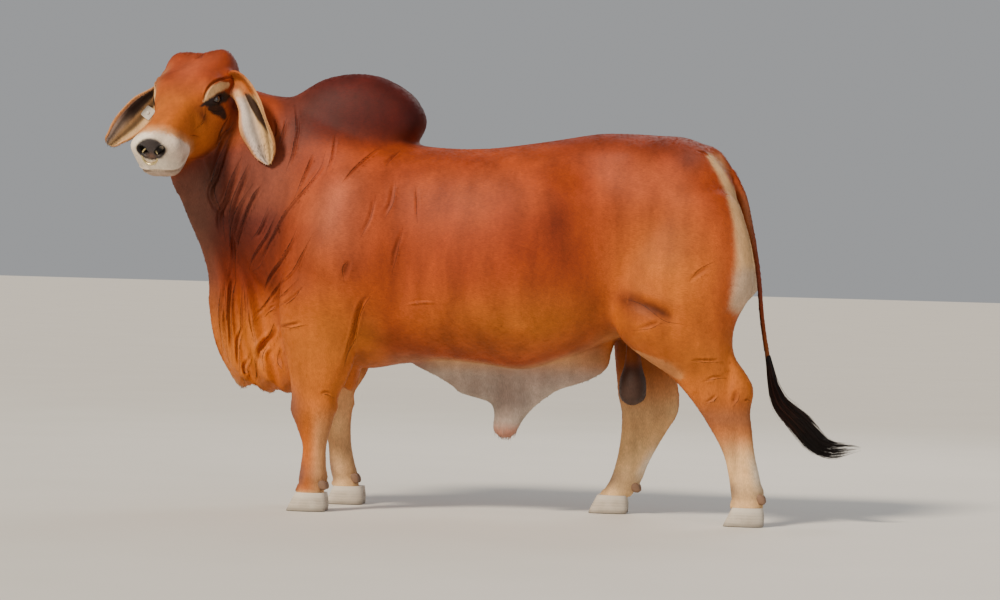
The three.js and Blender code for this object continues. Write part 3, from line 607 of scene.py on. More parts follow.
TAIL_PATH = [
    [742, 0, 1372], [796, 0, 1338], [834, 0, 1276], [884, -4, 1188], [911, -8, 1104], [937, -10, 998],
    [955, -8, 888], [968, -4, 760], [989, 0, 632], [1006, 0, 560],
]
SWITCH_PATH = [
    [994, 0, 612], [1003, 0, 572], [1018, 2, 505], [1045, 4, 440], [1085, 5, 398], [1125, 4, 360],
    [1157, 2, 324], [1192, 0, 292], [1238, 0, 276], [1290, 0, 281], [1346, 0, 286],
]
SWITCH = [
    # along the switch, half width, half depth
    [0, 16, 14],
    [0.16, 26, 19],
    [0.3, 40, 25],
    [0.5, 49, 28],
    [0.72, 42, 21],
    [0.88, 26, 12],
    [1, 6, 4],
]


def sweep(path, wide, thick, start, end, rings, columns, **caps):
    """A rope along a path: an ellipse that stays square to the path."""
    at, tangent = curve_through(path)

    def point(t, angle, open_):
        up = unit(np.cross(tangent(t), AXIS[1]))
        across, over = np.cos(angle) * thick(t) * open_, np.sin(angle) * wide(t) * open_
        return laid_out(at(t), (across, AXIS[1]), (over, up))

    return loft(point, start, end, rings, columns, **caps)


def tail_radius(t):
    return 28 - 15 * ramp(t, 0.12, 0.62) - coat_depth()


def coat_depth():
    return bpy.context.scene.bull_sizes.coat_depth * 1000


def skin_bodies():
    """The closed bodies that together make the skin, each smaller than its solid by the coat's depth."""
    grow = -coat_depth()
    trunk = section(*LENGTHWISE, TRUNK, grow)
    bodies = [
        loft(
            lambda *at: swell(trunk(*at), TRUNK_SWELLINGS), -845 - grow, 925 + grow, 260, 240,
            start_cap=90, end_cap=60,
        ),
        loft(section(*LENGTHWISE, NECK, grow), -1170 - grow, -440, 110, 150, start_cap=60),
        loft(section(*LENGTHWISE, HUMP, grow), -860, -286, 90, 110, start_cap=50, end_cap=62),
        loft(dewlap_point, 424, 1330, 190, 200, start_cap=34, end_cap=20),
        loft(skull_point(grow), -70 - grow, HEAD_LENGTH + 6 + grow, 150, 150, start_cap=50, end_cap=34),
        loft(section(*UPRIGHT, SHEATH, grow), 279, 700, 110, 120, start_cap=20),
        loft(section(*UPRIGHT, SCROTUM, grow), 414, 790, 90, 60, start_cap=34),
        sweep(TAIL_PATH, tail_radius, tail_radius, 0, 1, 200, 28, start_cap=0.03),
    ]
    bodies += [leg(name, grow) for name in LEGS]
    for _, side in SIDES:
        bodies.append(head_ball(EYE * (1, -side, 1) + (0, side * 2, 0), (42, 23, 34)))
        bodies.append(head_ball((82, -side * (BROW - 22), -62), (44, 30, 46)))
    return bodies


# Meshes as arrays


def halved(quads):
    """Each quad as two triangles."""
    return np.concatenate([quads[:, [0, 1, 2]], quads[:, [0, 2, 3]]])


def edges_of(faces):
    """The unique edges of a mesh, as pairs of points."""
    corners = faces.shape[1]
    pairs = np.concatenate([faces[:, [k, (k + 1) % corners]] for k in range(corners)])
    pairs = np.sort(pairs.astype(np.int64), axis=1)
    codes = np.unique(pairs[:, 0] << 32 | pairs[:, 1])
    return np.stack([codes >> 32, codes & 0xFFFFFFFF], 1)


def spread(edges, values, count):
    """The sum over each point's neighbours of a value."""
    sums = [
        np.bincount(edges[:, 0], values[edges[:, 1], axis], count)
        + np.bincount(edges[:, 1], values[edges[:, 0], axis], count)
        for axis in range(values.shape[1])
    ]
    return np.stack(sums, 1)


def relax(points, edges, steps, weight):
    """Moves each point part of the way to the mean of its neighbours, over and over."""
    busy = (weight[edges] > 0).any(1)
    edges = edges[busy]
    degree = np.maximum(np.bincount(edges.ravel(), minlength=len(points)), 1)[:, None]
    for _ in range(steps):
        points = points + weight[:, None] * (spread(edges, points, len(points)) / degree - points)
    return points


def normals_of(points, faces):
    """Normals at the points: the mean of their faces' normals, each counted by its area."""
    a, b, c = (points[faces[:, k]] for k in range(3))
    face = np.cross(b - a, c - a)
    sums = [
        sum(np.bincount(faces[:, k], face[:, axis], len(points)) for k in range(3)) for axis in range(3)
    ]
    return unit(np.stack(sums, 1))


def split_quads(points, quads, chosen):
    """Splits the chosen quads in four. A quad beside them gets a fan of triangles round its middle."""
    inside = chosen[quads].all(1)
    edges = edges_of(quads)
    codes = edges[:, 0] << 32 | edges[:, 1]

    def edge_of(some, k):
        pair = np.sort(some[:, [k, (k + 1) % 4]].astype(np.int64), axis=1)
        return np.searchsorted(codes, pair[:, 0] << 32 | pair[:, 1])

    split = np.zeros(len(codes), bool)
    inner = quads[inside]
    for k in range(4):
        split[edge_of(inner, k)] = True
    border = ~inside & np.stack([split[edge_of(quads, k)] for k in range(4)]).any(0)
    number = np.full(len(codes), -1)
    number[split] = len(points) + np.arange(split.sum())
    middles = points[edges[split]].mean(1)
    touched = quads[inside | border]
    centres = points[touched].mean(1)
    first_centre = len(points) + len(middles)
    centre = np.full(len(quads), -1)
    centre[inside | border] = first_centre + np.arange(len(touched))
    triangles = []
    for k in range(4):
        a, b, c = inner[:, k], inner[:, (k + 1) % 4], centre[inside]
        ab, da = number[edge_of(inner, k)], number[edge_of(inner, (k + 3) % 4)]
        triangles += [np.stack([a, ab, c], 1), np.stack([a, c, da], 1)]
        rim, middle = quads[border], centre[border]
        a, b, ab = rim[:, k], rim[:, (k + 1) % 4], number[edge_of(rim, k)]
        whole = ab < 0
        triangles.append(np.stack([a, b, middle], 1)[whole])
        triangles += [np.stack(t, 1)[~whole] for t in ((a, ab, middle), (ab, b, middle))]
    triangles.append(halved(quads[~(inside | border)]))
    return np.concatenate([points, middles, centres]), np.concatenate(triangles)


def in_frame(points):
    """The bull's own millimetres as metres in the frame."""
    return points / 1000 + SHIFT


def in_bull(points):
    return (points - SHIFT) * 1000


def make_mesh(name, points, faces):
    """A mesh from arrays of points, in the bull's millimetres, and of triangles."""
    mesh = bpy.data.meshes.new(name)
    mesh.vertices.add(len(points))
    mesh.vertices.foreach_set("co", in_frame(points).astype(np.float32).ravel())
    mesh.loops.add(faces.size)
    mesh.loops.foreach_set("vertex_index", faces.astype(np.int32).ravel())
    mesh.polygons.add(len(faces))
    mesh.polygons.foreach_set("loop_start", np.arange(0, faces.size, 3, dtype=np.int32))
    mesh.update(calc_edges=True)
    mesh.shade_smooth()
    return mesh


def arrays_of(mesh):
    points = np.empty(len(mesh.vertices) * 3, np.float32)
    mesh.vertices.foreach_get("co", points)
    mesh.calc_loop_triangles()
    faces = np.empty(len(mesh.loop_triangles) * 3, np.int32)
    mesh.loop_triangles.foreach_get("vertices", faces)
    return in_bull(points.reshape(-1, 3).astype(float)), faces.reshape(-1, 3)


def paint(mesh, name, colours):
    """A colour for each point of a mesh."""
    full = np.ones((len(colours), 4), np.float32)
    full[:, : colours.shape[1]] = colours
    mesh.color_attributes.new(name, "FLOAT_COLOR", "POINT").data.foreach_set("color", full.ravel())


def place(mesh, name, material, slot, nodes):
    """Puts a finished mesh in the scene, riding on the bull and standing for its CAD nodes."""
    piece = bpy.data.objects.new(name, mesh)
    bpy.context.scene.collection.objects.link(piece)
    mesh.materials.append(material)
    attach(piece, "root")
    if nodes:
        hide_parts(*nodes)


def join(bodies):
    """Several bodies' points and faces as one."""
    counts = np.cumsum([0] + [len(points) for points, _ in bodies])
    points = np.concatenate([points for points, _ in bodies])
    return points, np.concatenate([faces + base for (_, faces), base in zip(bodies, counts)])


# Folds of the skin


class Crease:
    """A fold along a path on the skin: a groove `width` wide and `depth` deep with a lip on both sides.
    A depth below zero makes a raised cord, such as a vein."""

    def __init__(self, path, width, depth, lip=0.35, taper=0.4):
        at, _ = curve_through(path)
        self.path = at(np.linspace(0, 1, max(12, 5 * len(path))))
        self.width, self.depth, self.lip, self.taper = width, depth, lip, taper

    def snapped(self, points):
        """Moves the path's points onto the nearest of the skin's points."""
        near = self.near(points, 60)
        skin = points[near]
        if len(skin):
            gaps = ((self.path[:, None] - skin[None]) ** 2).sum(-1)
            self.path = skin[gaps.argmin(1)]
            inner = (self.path[:-2] + self.path[2:] + 2 * self.path[1:-1]) / 4
            self.path[1:-1] = inner
        return self

    def near(self, points, margin):
        low, high = self.path.min(0) - margin, self.path.max(0) + margin
        return np.flatnonzero(((points > low) & (points < high)).all(1))

    def profile(self, points):
        """The depth at the points: a bell across the path, with lips, that tapers to both ends."""
        near = self.near(points, 4 * self.width)
        if not len(near):
            return near, np.zeros(0), np.zeros(0)
        best = np.full(len(near), 1e9)
        along = np.zeros(len(near))
        count = len(self.path) - 1
        for k in range(count):
            a, b = self.path[k], self.path[k + 1]
            step = b - a
            t = np.clip(((points[near] - a) @ step) / (step @ step + 1e-9), 0, 1)
            gap = np.linalg.norm(points[near] - a - t[:, None] * step, axis=1)
            closer = gap < best
            best[closer] = gap[closer]
            along[closer] = ((k + t) / count)[closer]
        ends = ramp(along, 0, self.taper) * ramp(1 - along, 0, self.taper)
        across = best / self.width
        groove = np.exp(-(across**2)) * ends
        lips = peak(across, 1.7, 0.8) * ends
        return near, self.depth * (self.lip * lips - groove), groove


def side_path(flat, side, points, normals):
    """A path of places x and z as points on that side of the body: the outermost skin near each place."""
    path = []
    facing = normals[:, 1] * side > 0.05
    candidates = points[facing]
    for x, z in np.reshape(flat, (-1, 2)):
        gap = np.hypot(candidates[:, 0] - x, candidates[:, 2] - z)
        close = candidates[gap < 14]
        if not len(close):
            close = candidates[gap.argmin()][None]
        path.append(close[(close[:, 1] * side).argmax()])
    return np.array(path)


# Folds of the left side: the path as x and z of one place after another, the width, the depth, and how
# strong it is on the right side
BODY_FOLDS = [
    ([-852, 1484, -838, 1405, -840, 1375], 4.5, 3.5, 0.7),
    ([-803, 1460, -804, 1399, -822, 1340], 4.5, 4.5, 0.7),
    ([-781, 1517, -757, 1418, -762, 1324, -788, 1246], 5, 5.5, 0.7),
    ([-681, 1325, -707, 1255, -751, 1148], 5, 5, 0.7),
    ([-636, 1349, -647, 1272, -679, 1218, -719, 1166, -787, 1082, -837, 988, -893, 892,
      -925, 861], 5.5, 6, 0.7),
    ([-603, 1406, -605, 1323, -626, 1241], 5, 3, 0.7),
    ([-891, 1460, -875, 1378, -891, 1281], 4.5, 4, 0.7),
    ([-880, 1197, -915, 1133, -976, 984, -990, 943], 6.5, 8, 0.8),
    ([-839, 1122, -888, 1016, -902, 986], 5.5, 6.5, 0.8),
    ([-810, 1110, -860, 1002, -903, 927, -942, 867], 5, 5, 0.8),
    ([-714, 1054, -757, 960, -842, 859, -894, 779], 6, 7, 0.8),
    ([-657, 1021, -699, 933, -755, 855, -821, 800], 5.5, 4, 0.8),
    ([-420, 1356, -502, 1281, -562, 1209], 6, 5.5, 0.8),
    ([-363, 1340, -405, 1284], 6, 4, 0.8),
    ([-363, 1237, -368, 1149, -384, 1091], 6.5, 3.2, 0.8),
    ([-321, 1069, -335, 961, -341, 884], 6.5, 3.2, 0.8),
    ([-285, 1221, -272, 1076], 6.5, 2.5, 0.8),
    ([-424, 1180, -434, 1088, -465, 1011], 7, 2.5, 0.8),
    ([-984, 1420, -1055, 1235, -1058, 1147, -1012, 1030], 9, 13, 0.6),
    ([-952, 1321, -1005, 1177, -1029, 1059, -1023, 972], 8.5, 12, 0.6),
    ([-926, 1284, -966, 1178, -998, 1084, -1016, 954], 7.5, 10, 0.6),
    ([-899, 1221, -965, 1090, -1001, 1001, -993, 913, -996, 765], 7.5, 10, 0.6),
    ([-1046, 804, -1051, 718, -1047, 553], 7, 8, 0.6),
    ([-1012, 839, -1016, 702, -1013, 525], 7, 9, 0.6),
    ([-995, 876, -993, 733, -999, 526], 7, 9, 0.6),
    ([-963, 825, -968, 706, -958, 576, -970, 486], 6, 7, 0.6),
    ([-945, 822, -948, 725, -943, 621], 4, 3.5, 0.6),
    ([-926, 800, -926, 719, -915, 615], 4, 3.5, 0.6),
    ([-911, 764, -910, 689, -894, 598], 4, 3, 0.6),
    ([-731, 885, -825, 803, -880, 742, -907, 697], 5, 4.5, 0.8),
    ([-704, 860, -764, 796, -856, 732, -892, 682], 4.5, 3.5, 0.8),
    ([-687, 831, -740, 775, -839, 710], 4.5, 3.5, 0.8),
    ([-839, 688, -846, 643, -875, 572, -869, 513], 12, 13, 1),
    ([-813, 600, -819, 551, -798, 500], 9, 9, 1),
    ([-934, 596, -930, 510, -949, 440], 7, 8, 0.6),
    ([-894, 572, -903, 496, -902, 435], 6, 6, 0.6),
    ([-822, 679, -740, 678, -686, 682], 6, 5, 0.8),
    ([-419, 794, -459, 758, -481, 722, -500, 633, -512, 576, -527, 528], 8, 11, 1),
    ([-506, 936, -526, 887, -536, 837], 10, 5, 0.8),
    ([-614, 420, -590, 431, -567, 417], 6, 4, 0.8),
    ([-328, 751, -257, 767, -174, 766], 4.5, -3, 0.6),
    ([477, 812, 546, 797, 634, 746, 692, 715], 22, 7, 1),
    ([503, 694, 573, 711, 625, 722], 8, 3, 0.8),
    ([729, 586, 794, 586, 854, 600], 5, 4.5, 0.8),
    ([769, 429, 803, 456, 835, 470], 5, 4.5, 0.8),
    ([766, 507, 823, 527, 866, 535], 5, 3.5, 0.8),
    ([902, 518, 903, 475, 897, 431], 9, 6, 0.8),
    ([939, 450, 951, 453], 5, 5, 0.8),
    ([724, 881, 766, 914, 811, 941], 8, 3, 0.8),
    ([721, 1367, 759, 1355, 789, 1330], 6, 5, 0.8),
]
# Folds of the head in its own frame, on the left: the path as three numbers for each place, the width,
# the depth
HEAD_FOLDS = [
    ([262, 103, -34, 239, 104, -19, 213, 107, -6, 182, 118, -1, 140, 130, -13, 93, 136, -43,
      74, 138, -67], 4.5, 6),
    ([259, 108, -54, 273, 105, -76, 297, 98, -94, 348, 86, -94], 3, 3.5),
    ([256, 112, -64, 242, 120, -84, 211, 131, -104, 170, 139, -118], 4, 3),
    ([262, 112, -74, 240, 122, -96, 206, 132, -118], 4, 2),
    ([285, 87, -270, 258, 103, -236, 234, 122, -202, 204, 139, -193, 180, 150, -182], 8, 5),
    ([263, 100, -228, 232, 129, -174, 174, 144, -146], 7, 4),
    ([45, 16, 8, 20, 6, 2, -30, -2, -18], 16, 2.5),
    ([330, 84, -140, 352, 82, -116, 376, 80, -98], 6, 2.5),
    ([150, 150, -120, 120, 146, -170, 110, 138, -220], 9, 4),
]
MOUTH_LINE = [
    (392, 84, -118), (425, 90, -128), (470, 92, -139), (505, 84, -146), (530, 52, -146), (542, 0, -140),
]
PHILTRUM = [(547, 0, -66), (547, 0, -100), (544, 0, -130)]


def both_head_sides(path):
    return [np.reshape(path, (-1, 3)) * (1.0, -side, 1) for _, side in SIDES]


def fold_lines(points, normals):
    """The path, width and depth of each fold of the body and the head, on both sides."""
    body = [
        (side_path(flat, side, points, normals), width, depth * (1 if side < 0 else other))
        for flat, width, depth, other in BODY_FOLDS for _, side in SIDES
    ]
    return body + [
        (from_head(local), width, depth)
        for path, width, depth in HEAD_FOLDS for local in both_head_sides(path)
    ]


def creases_for(points, normals):
    """Every fold of the skin, laid on its surface."""
    folds = [Crease(*line) for line in fold_lines(points, normals)]
    left, right = both_head_sides(MOUTH_LINE)
    lips = from_head(np.concatenate([left, right[-2::-1]]))
    folds.append(Crease(lips, 5, 8, lip=0.3, taper=0.06))
    folds.append(Crease(from_head(np.array(PHILTRUM, float)), 4, 3))
    for name, (toe, _, _) in FEET.items():
        middle = side_of(name) * middle_of(name)
        front = [[toe + 26, middle, 50], [toe + 34, middle, 74], [toe + 46, middle, 96]]
        folds.append(Crease(front, 7, 13, taper=0.02))
    return [fold.snapped(points) for fold in folds]


EYE_TILT = np.radians(20)
EYE_HALF_LENGTH = 29
EYE_ABOVE, EYE_BELOW = 14, 11


def almond(s, n):
    """How far a place is outside the eye's opening: an almond with its sharp corner towards the nose,
    0 at its middle and 1 at its edge."""
    along = ((s - EYE[0]) * np.cos(EYE_TILT) + (n - EYE[2]) * np.sin(EYE_TILT)) / EYE_HALF_LENGTH
    level = (n - EYE[2]) * np.cos(EYE_TILT) - (s - EYE[0]) * np.sin(EYE_TILT)
    narrowing = np.sqrt(np.clip(1 - 0.75 * np.clip(along, 0, 2) ** 2, 0.06, 1))
    half = np.where(level > 0, EYE_ABOVE, EYE_BELOW) * narrowing
    return np.sqrt(along**2 + (level / half) ** 2)


def open_eyes(points):
    """Lays the lids over the eyeball and sinks the skin behind it inside the almond."""
    moved = points.copy()
    for _, side in SIDES:
        local = to_head(moved) * (1, -side, 1)
        s, out, n = local.T
        away = np.hypot(s - EYE[0], n - EYE[2])
        near = np.flatnonzero((away < 60) & (out > 60))
        s, out, n = local[near].T
        away = away[near]
        ball = EYE[1] + np.sqrt(np.clip(EYE_RADIUS**2 - away**2, 0, None))
        edge = almond(s, n)
        lid = ball + 3.0 + 2.2 * peak(edge, 1.14, 0.16)
        cover = fade(away, 20, 46) * ramp(edge, 0.86, 1.08)
        new = np.maximum(out, mix(out, lid, (away < 30) * 1.0))
        new = mix(out, new, np.clip(cover, 0, 1))
        sunk = np.minimum(ball - 4, EYE[1] + 14)
        new = mix(sunk, new, ramp(edge, 0.9, 1.06))
        local[near, 1] = new
        moved[near] = from_head(local[near] * (1, -side, 1))
    return moved


# Nostrils: a path in the head's frame with the radius and depth of the pit at each point
NOSTRIL = [
    # along, left, out of the face, radius, depth
    (540, 26, -57, 12, 18),
    (534, 36, -51, 13, 28),
    (522, 44, -48, 12, 28),
    (508, 47, -50, 9, 20),
    (495, 49, -53, 5, 8),
]


def open_nostrils(points):
    """Sinks a comma-shaped pit, with a raised rim, back into the muzzle on each side."""
    moved = points.copy()
    rows = np.array(NOSTRIL, float)
    at, _ = curve_through(rows)
    steps = at(np.linspace(0, 1, 28))
    for _, side in SIDES:
        local = to_head(moved) * (1, -side, 1)
        near = np.flatnonzero(np.linalg.norm(local - rows[1, :3], axis=1) < 90)
        spots = local[near]
        gaps = np.linalg.norm(spots[:, None] - steps[None, :, :3], axis=-1) / steps[None, :, 3]
        best = gaps.argmin(1)
        gap = gaps[np.arange(len(near)), best]
        depth = steps[best, 4]
        pit = fade(gap, 0.55, 1.15)
        rim = 2.6 * peak(gap, 1.35, 0.3)
        inward = unit(np.array([-0.9, -0.35, -0.25]))
        local[near] += (pit * depth)[:, None] * inward - rim[:, None] * inward
        moved[near] = from_head(local[near] * (1, -side, 1))
    return moved


LEG_FORMS = [
    # place on the left leg, reach, push outwards: bones and tendons
    ((-640, -245, 372), (34, 24, 34), (0, -5, 0)),  # fore knee, outside
    ((-735, -200, 372), (20, 34, 36), (-6, 0, 0)),  # fore knee, front
    ((-575, -200, 382), (20, 24, 20), (7, 0, 0)),  # bone behind the knee
    ((-628, -246, 560), (60, 30, 90), (0, -9, 0)),  # muscle of the forearm
    ((-612, -240, 235), (10, 16, 60), (0, 6, 0)),  # groove before the tendon
    ((-600, -200, 128), (22, 34, 20), (5, 0, 0)),  # fetlock
    ((930, -205, 500), (24, 26, 30), (8, 0, 0)),  # point of the hock
    ((870, -262, 540), (22, 20, 70), (0, 14, 0)),  # hollow before the great tendon
    ((800, -262, 440), (40, 24, 40), (0, -6, 0)),  # hock bones
    ((905, -244, 250), (12, 16, 80), (0, 6, 0)),  # groove before the tendon
    ((990, -205, 130), (22, 34, 20), (5, 0, 0)),  # fetlock
    ((560, -318, 700), (70, 40, 60), (0, -14, 0)),  # stifle
    ((700, -330, 900), (120, 60, 150), (0, -16, 0)),  # thigh
]


def reach_steps(points):
    """How much each point is relaxed: most on the trunk, least on the head, tail and lower legs."""
    x, y, z = points.T
    head = to_head(points)
    on_head = (head[:, 0] > -90) & (head[:, 0] < 600) & (np.abs(head[:, 1]) < 200) & (head[:, 2] > -330)
    on_head &= z > 1150
    body = ramp(z, 560, 720) * np.where(on_head, 0, 1)
    tail = (x > 850) & (np.abs(y) < 50)
    dewlap = (x < -840) & (z < 1150)
    return body * np.where(tail, 0, 1) * np.where(dewlap, 0.15, 1), on_head


def build_skin_arrays():
    """The skin as points and triangles: the bodies are joined in a field of distances, relaxed, split
    finer on the head, and shaped with swellings and folds."""
    cell = bpy.context.scene.bull_sizes.cell
    points, faces = join(skin_bodies())
    lattice = openvdb.createLinearTransform(voxelSize=cell * 1000)
    field = openvdb.FloatGrid.createLevelSetFromPolygons(
        points.astype(np.float32), triangles=faces.astype(np.uint32), transform=lattice, halfWidth=3.0
    )
    points, _, quads = field.convertToPolygons(isovalue=0.0, adaptivity=0.0)
    points = points.astype(float)
    quads = quads.astype(np.int64)
    edges = edges_of(quads)
    everywhere = np.ones(len(points))
    points = relax(points, edges, 6, everywhere * 0.9)
    body, on_head = reach_steps(points)
    points = relax(points, edges, 100, body)
    points, faces = split_quads(points, quads, on_head)
    edges = edges_of(faces)
    _, on_head = reach_steps(points)
    points = relax(points, edges, 5, on_head * 0.8)
    faces = outward(points, faces)
    points = swell(points, [form for at, reach, push in LEG_FORMS for form in both_sides(at, reach, push)])
    normals = normals_of(points, faces)
    folds = creases_for(points, normals)
    share = bpy.context.scene.bull_sizes.fold_depth
    lift = np.zeros(len(points))
    for fold in folds:
        near, depth, _ = fold.profile(points)
        lift[near] += depth * share
    points = points + lift[:, None] * normals
    points = open_nostrils(open_eyes(points))
    return points, faces, folds


HEAD_GAIN = 300.0  # over this distance from its middle the head is drawn out while the skin is thinned


def draw_out(points, back=False):
    """Makes the head about twice as large, so that thinning keeps more of it, or undoes that. The distance
    r from the middle of the head becomes r + g tanh(r / g)."""
    middle = from_head((260, 0, -100))
    distance = np.linalg.norm(points - middle, axis=1, keepdims=True)
    table = np.linspace(0, 4500, 4501)
    drawn = table + HEAD_GAIN * np.tanh(table / HEAD_GAIN)
    new = np.interp(distance, drawn, table) if back else np.interp(distance, table, drawn)
    return middle + (points - middle) * new / (distance + 1e-9)


def thin(points, faces, most):
    """Takes triangles away where the surface is flattest, and fewer on the head, till `most` are left."""
    mesh = make_mesh("skin_fine", draw_out(points), faces)
    piece = bpy.data.objects.new("skin_fine", mesh)
    bpy.context.scene.collection.objects.link(piece)
    fewer = piece.modifiers.new("fewer", "DECIMATE")
    fewer.ratio = min(1, most / len(faces))
    seen = bpy.context.evaluated_depsgraph_get()
    points, faces = arrays_of(piece.evaluated_get(seen).to_mesh())
    bpy.data.objects.remove(piece)
    bpy.data.meshes.remove(mesh)
    return largest_body(draw_out(points, back=True), faces)


def largest_body(points, faces):
    """Keeps the largest connected surface: labels spread along the edges till they settle."""
    edges = edges_of(faces)
    label = np.arange(len(points))
    while True:
        low = np.minimum(label[edges[:, 0]], label[edges[:, 1]])
        new = label.copy()
        np.minimum.at(new, edges[:, 0], low)
        np.minimum.at(new, edges[:, 1], low)
        new = new[new]
        if (new == label).all():
            break
        label = new
    main = np.bincount(label).argmax()
    kept = label == main
    number = np.cumsum(kept) - 1
    return points[kept], number[faces[kept[faces].all(1)]]


# Markings: the same on the skin and on the coat


def bell(points, at, reach):
    return np.exp(-(((points - np.array(at, float)) / np.array(reach, float)) ** 2).sum(-1))


MARKS = [
    # colour, strength, place on the left side, reach; both sides have them
    # Painted sheen, where the coat shines paler on the shoulder, rump and upper barrel
    ("rose", 0.6, (-590, -330, 1090), (140, 160, 180)),
    ("rose", 0.3, (560, -250, 1260), (170, 160, 120)),
    ("rose", 0.25, (-130, -340, 1180), (200, 120, 120)),
    ("mauve", 0.4, (702, -184, 1330), (50, 90, 46)),
    ("mahogany", 0.4, (592, -176, 1361), (90, 90, 40)),
    ("orange", 0.9, (640, -300, 900), (190, 120, 210)),
    ("orange", 0.7, (150, -330, 700), (420, 160, 130)),
    ("orange", 0.5, (-620, -280, 700), (150, 140, 190)),
    # Painted shade in soft hollows: the hollow of the flank, its pit above the stifle, and the pit behind the
    # shoulder
    ("mahogany", 0.5, (238, -330, 1060), (46, 90, 110)),
    ("mahogany", 0.85, (500, -301, 806), (46, 90, 34)),
    ("mahogany", 0.5, (590, -301, 770), (80, 90, 34)),
    ("mahogany", 0.6, (-500, -300, 900), (50, 90, 60)),
    ("cream", 0.8, (905, -110, 1010), (36, 90, 190)),
    ("ash", 0.6, (930, -110, 860), (34, 80, 70)),
    ("cream", 0.8, (796, -50, 1262), (26, 44, 70)),
    ("cream", 0.9, (574, -213, 590), (38, 80, 16)),
    ("cream", 0.9, (634, -262, 574), (36, 80, 15)),
    ("cream", 0.8, (676, -258, 548), (26, 80, 16)),
    ("cream", 0.4, (520, -110, 640), (150, 60, 110)),
    ("cream", 0.25, (-330, -120, 560), (90, 80, 40)),
    # Painted shadow under the jaw, on the throat
    ("mahogany", 0.8, (-1060, -170, 1230), (80, 120, 110)),
    ("black", 0.45, (-1065, -170, 1240), (46, 110, 80)),
]


# Brush strokes on the face, in the head's frame with the left side standing for both: place and half width
# Painted light: the pale band where the brow ridge over each eye catches the light
BROW_LIT_BAND = [
    (250, 104, -34, 7), (225, 112, -24, 13), (197, 124, -21, 18), (160, 135, -30, 17), (120, 141, -52, 10),
]
# Over the lids: their dark skin, and painted shade that the brow casts on them
LIDS_AND_BROW_SHADE = [
    (272, 97, -40, 4), (250, 106, -44, 10), (229, 118, -51, 17), (197, 130, -61, 24), (164, 138, -75, 22),
    (143, 142, -88, 13),
]
UNDER_EYE = [(246, 110, -66, 12), (228, 124, -84, 22), (212, 131, -102, 24), (206, 136, -130, 16)]
# Painted shade inside each nostril
NOSTRIL_SHADE = [(541, 20, -56, 10), (533, 38, -49, 20), (518, 50, -49, 18), (500, 56, -55, 11)]
# Painted shade in the fold that runs from the eye's inner corner
INNER_CORNER_FOLD_SHADE = [(262, 106, -52, 2.5), (273, 104, -76, 3), (297, 97, -94, 3), (345, 86, -95, 2.5)]


# Strokes on the body, in its own frame: pale rims of the fold of the flank and of the buttock
FLANK_RIM = [(480, 0, 634, 9), (564, 0, 596, 17), (634, 0, 572, 19), (690, 0, 536, 14)]
BUTTOCK_RIM = [
    (768, 0, 1336, 11), (812, 0, 1275, 16), (852, 0, 1205, 20), (894, 0, 1095, 28),
    (920, 0, 980, 44), (926, 0, 890, 56), (900, 0, 800, 40),
]


def stroke(spots, rows, core=0.75):
    """How much a place lies under a brush stroke: 1 within the core of its half width, with a soft edge."""
    rows = np.array(rows, float)
    cover = np.zeros(len(spots))
    for a, b in zip(rows[:-1], rows[1:]):
        step = b[:3] - a[:3]
        along = np.clip((spots - a[:3]) @ step / (step @ step), 0, 1)
        gap = np.linalg.norm(spots - a[:3] - along[:, None] * step, axis=1) / mix(a[3], b[3], along)
        cover = np.maximum(cover, 1 - ramp(gap, core, 1.2))
    return cover


def head_share(points):
    """How much a place belongs to the head: 1 on it, fading to 0 on the neck."""
    reach = np.linalg.norm(to_head(points) - (250, 0, -110), axis=1)
    behind = ramp(-to_head(points)[:, 2], 288, 325)
    return fade(reach, 330, 420) * ramp(points[:, 2], 1150, 1260) * (1 - behind)


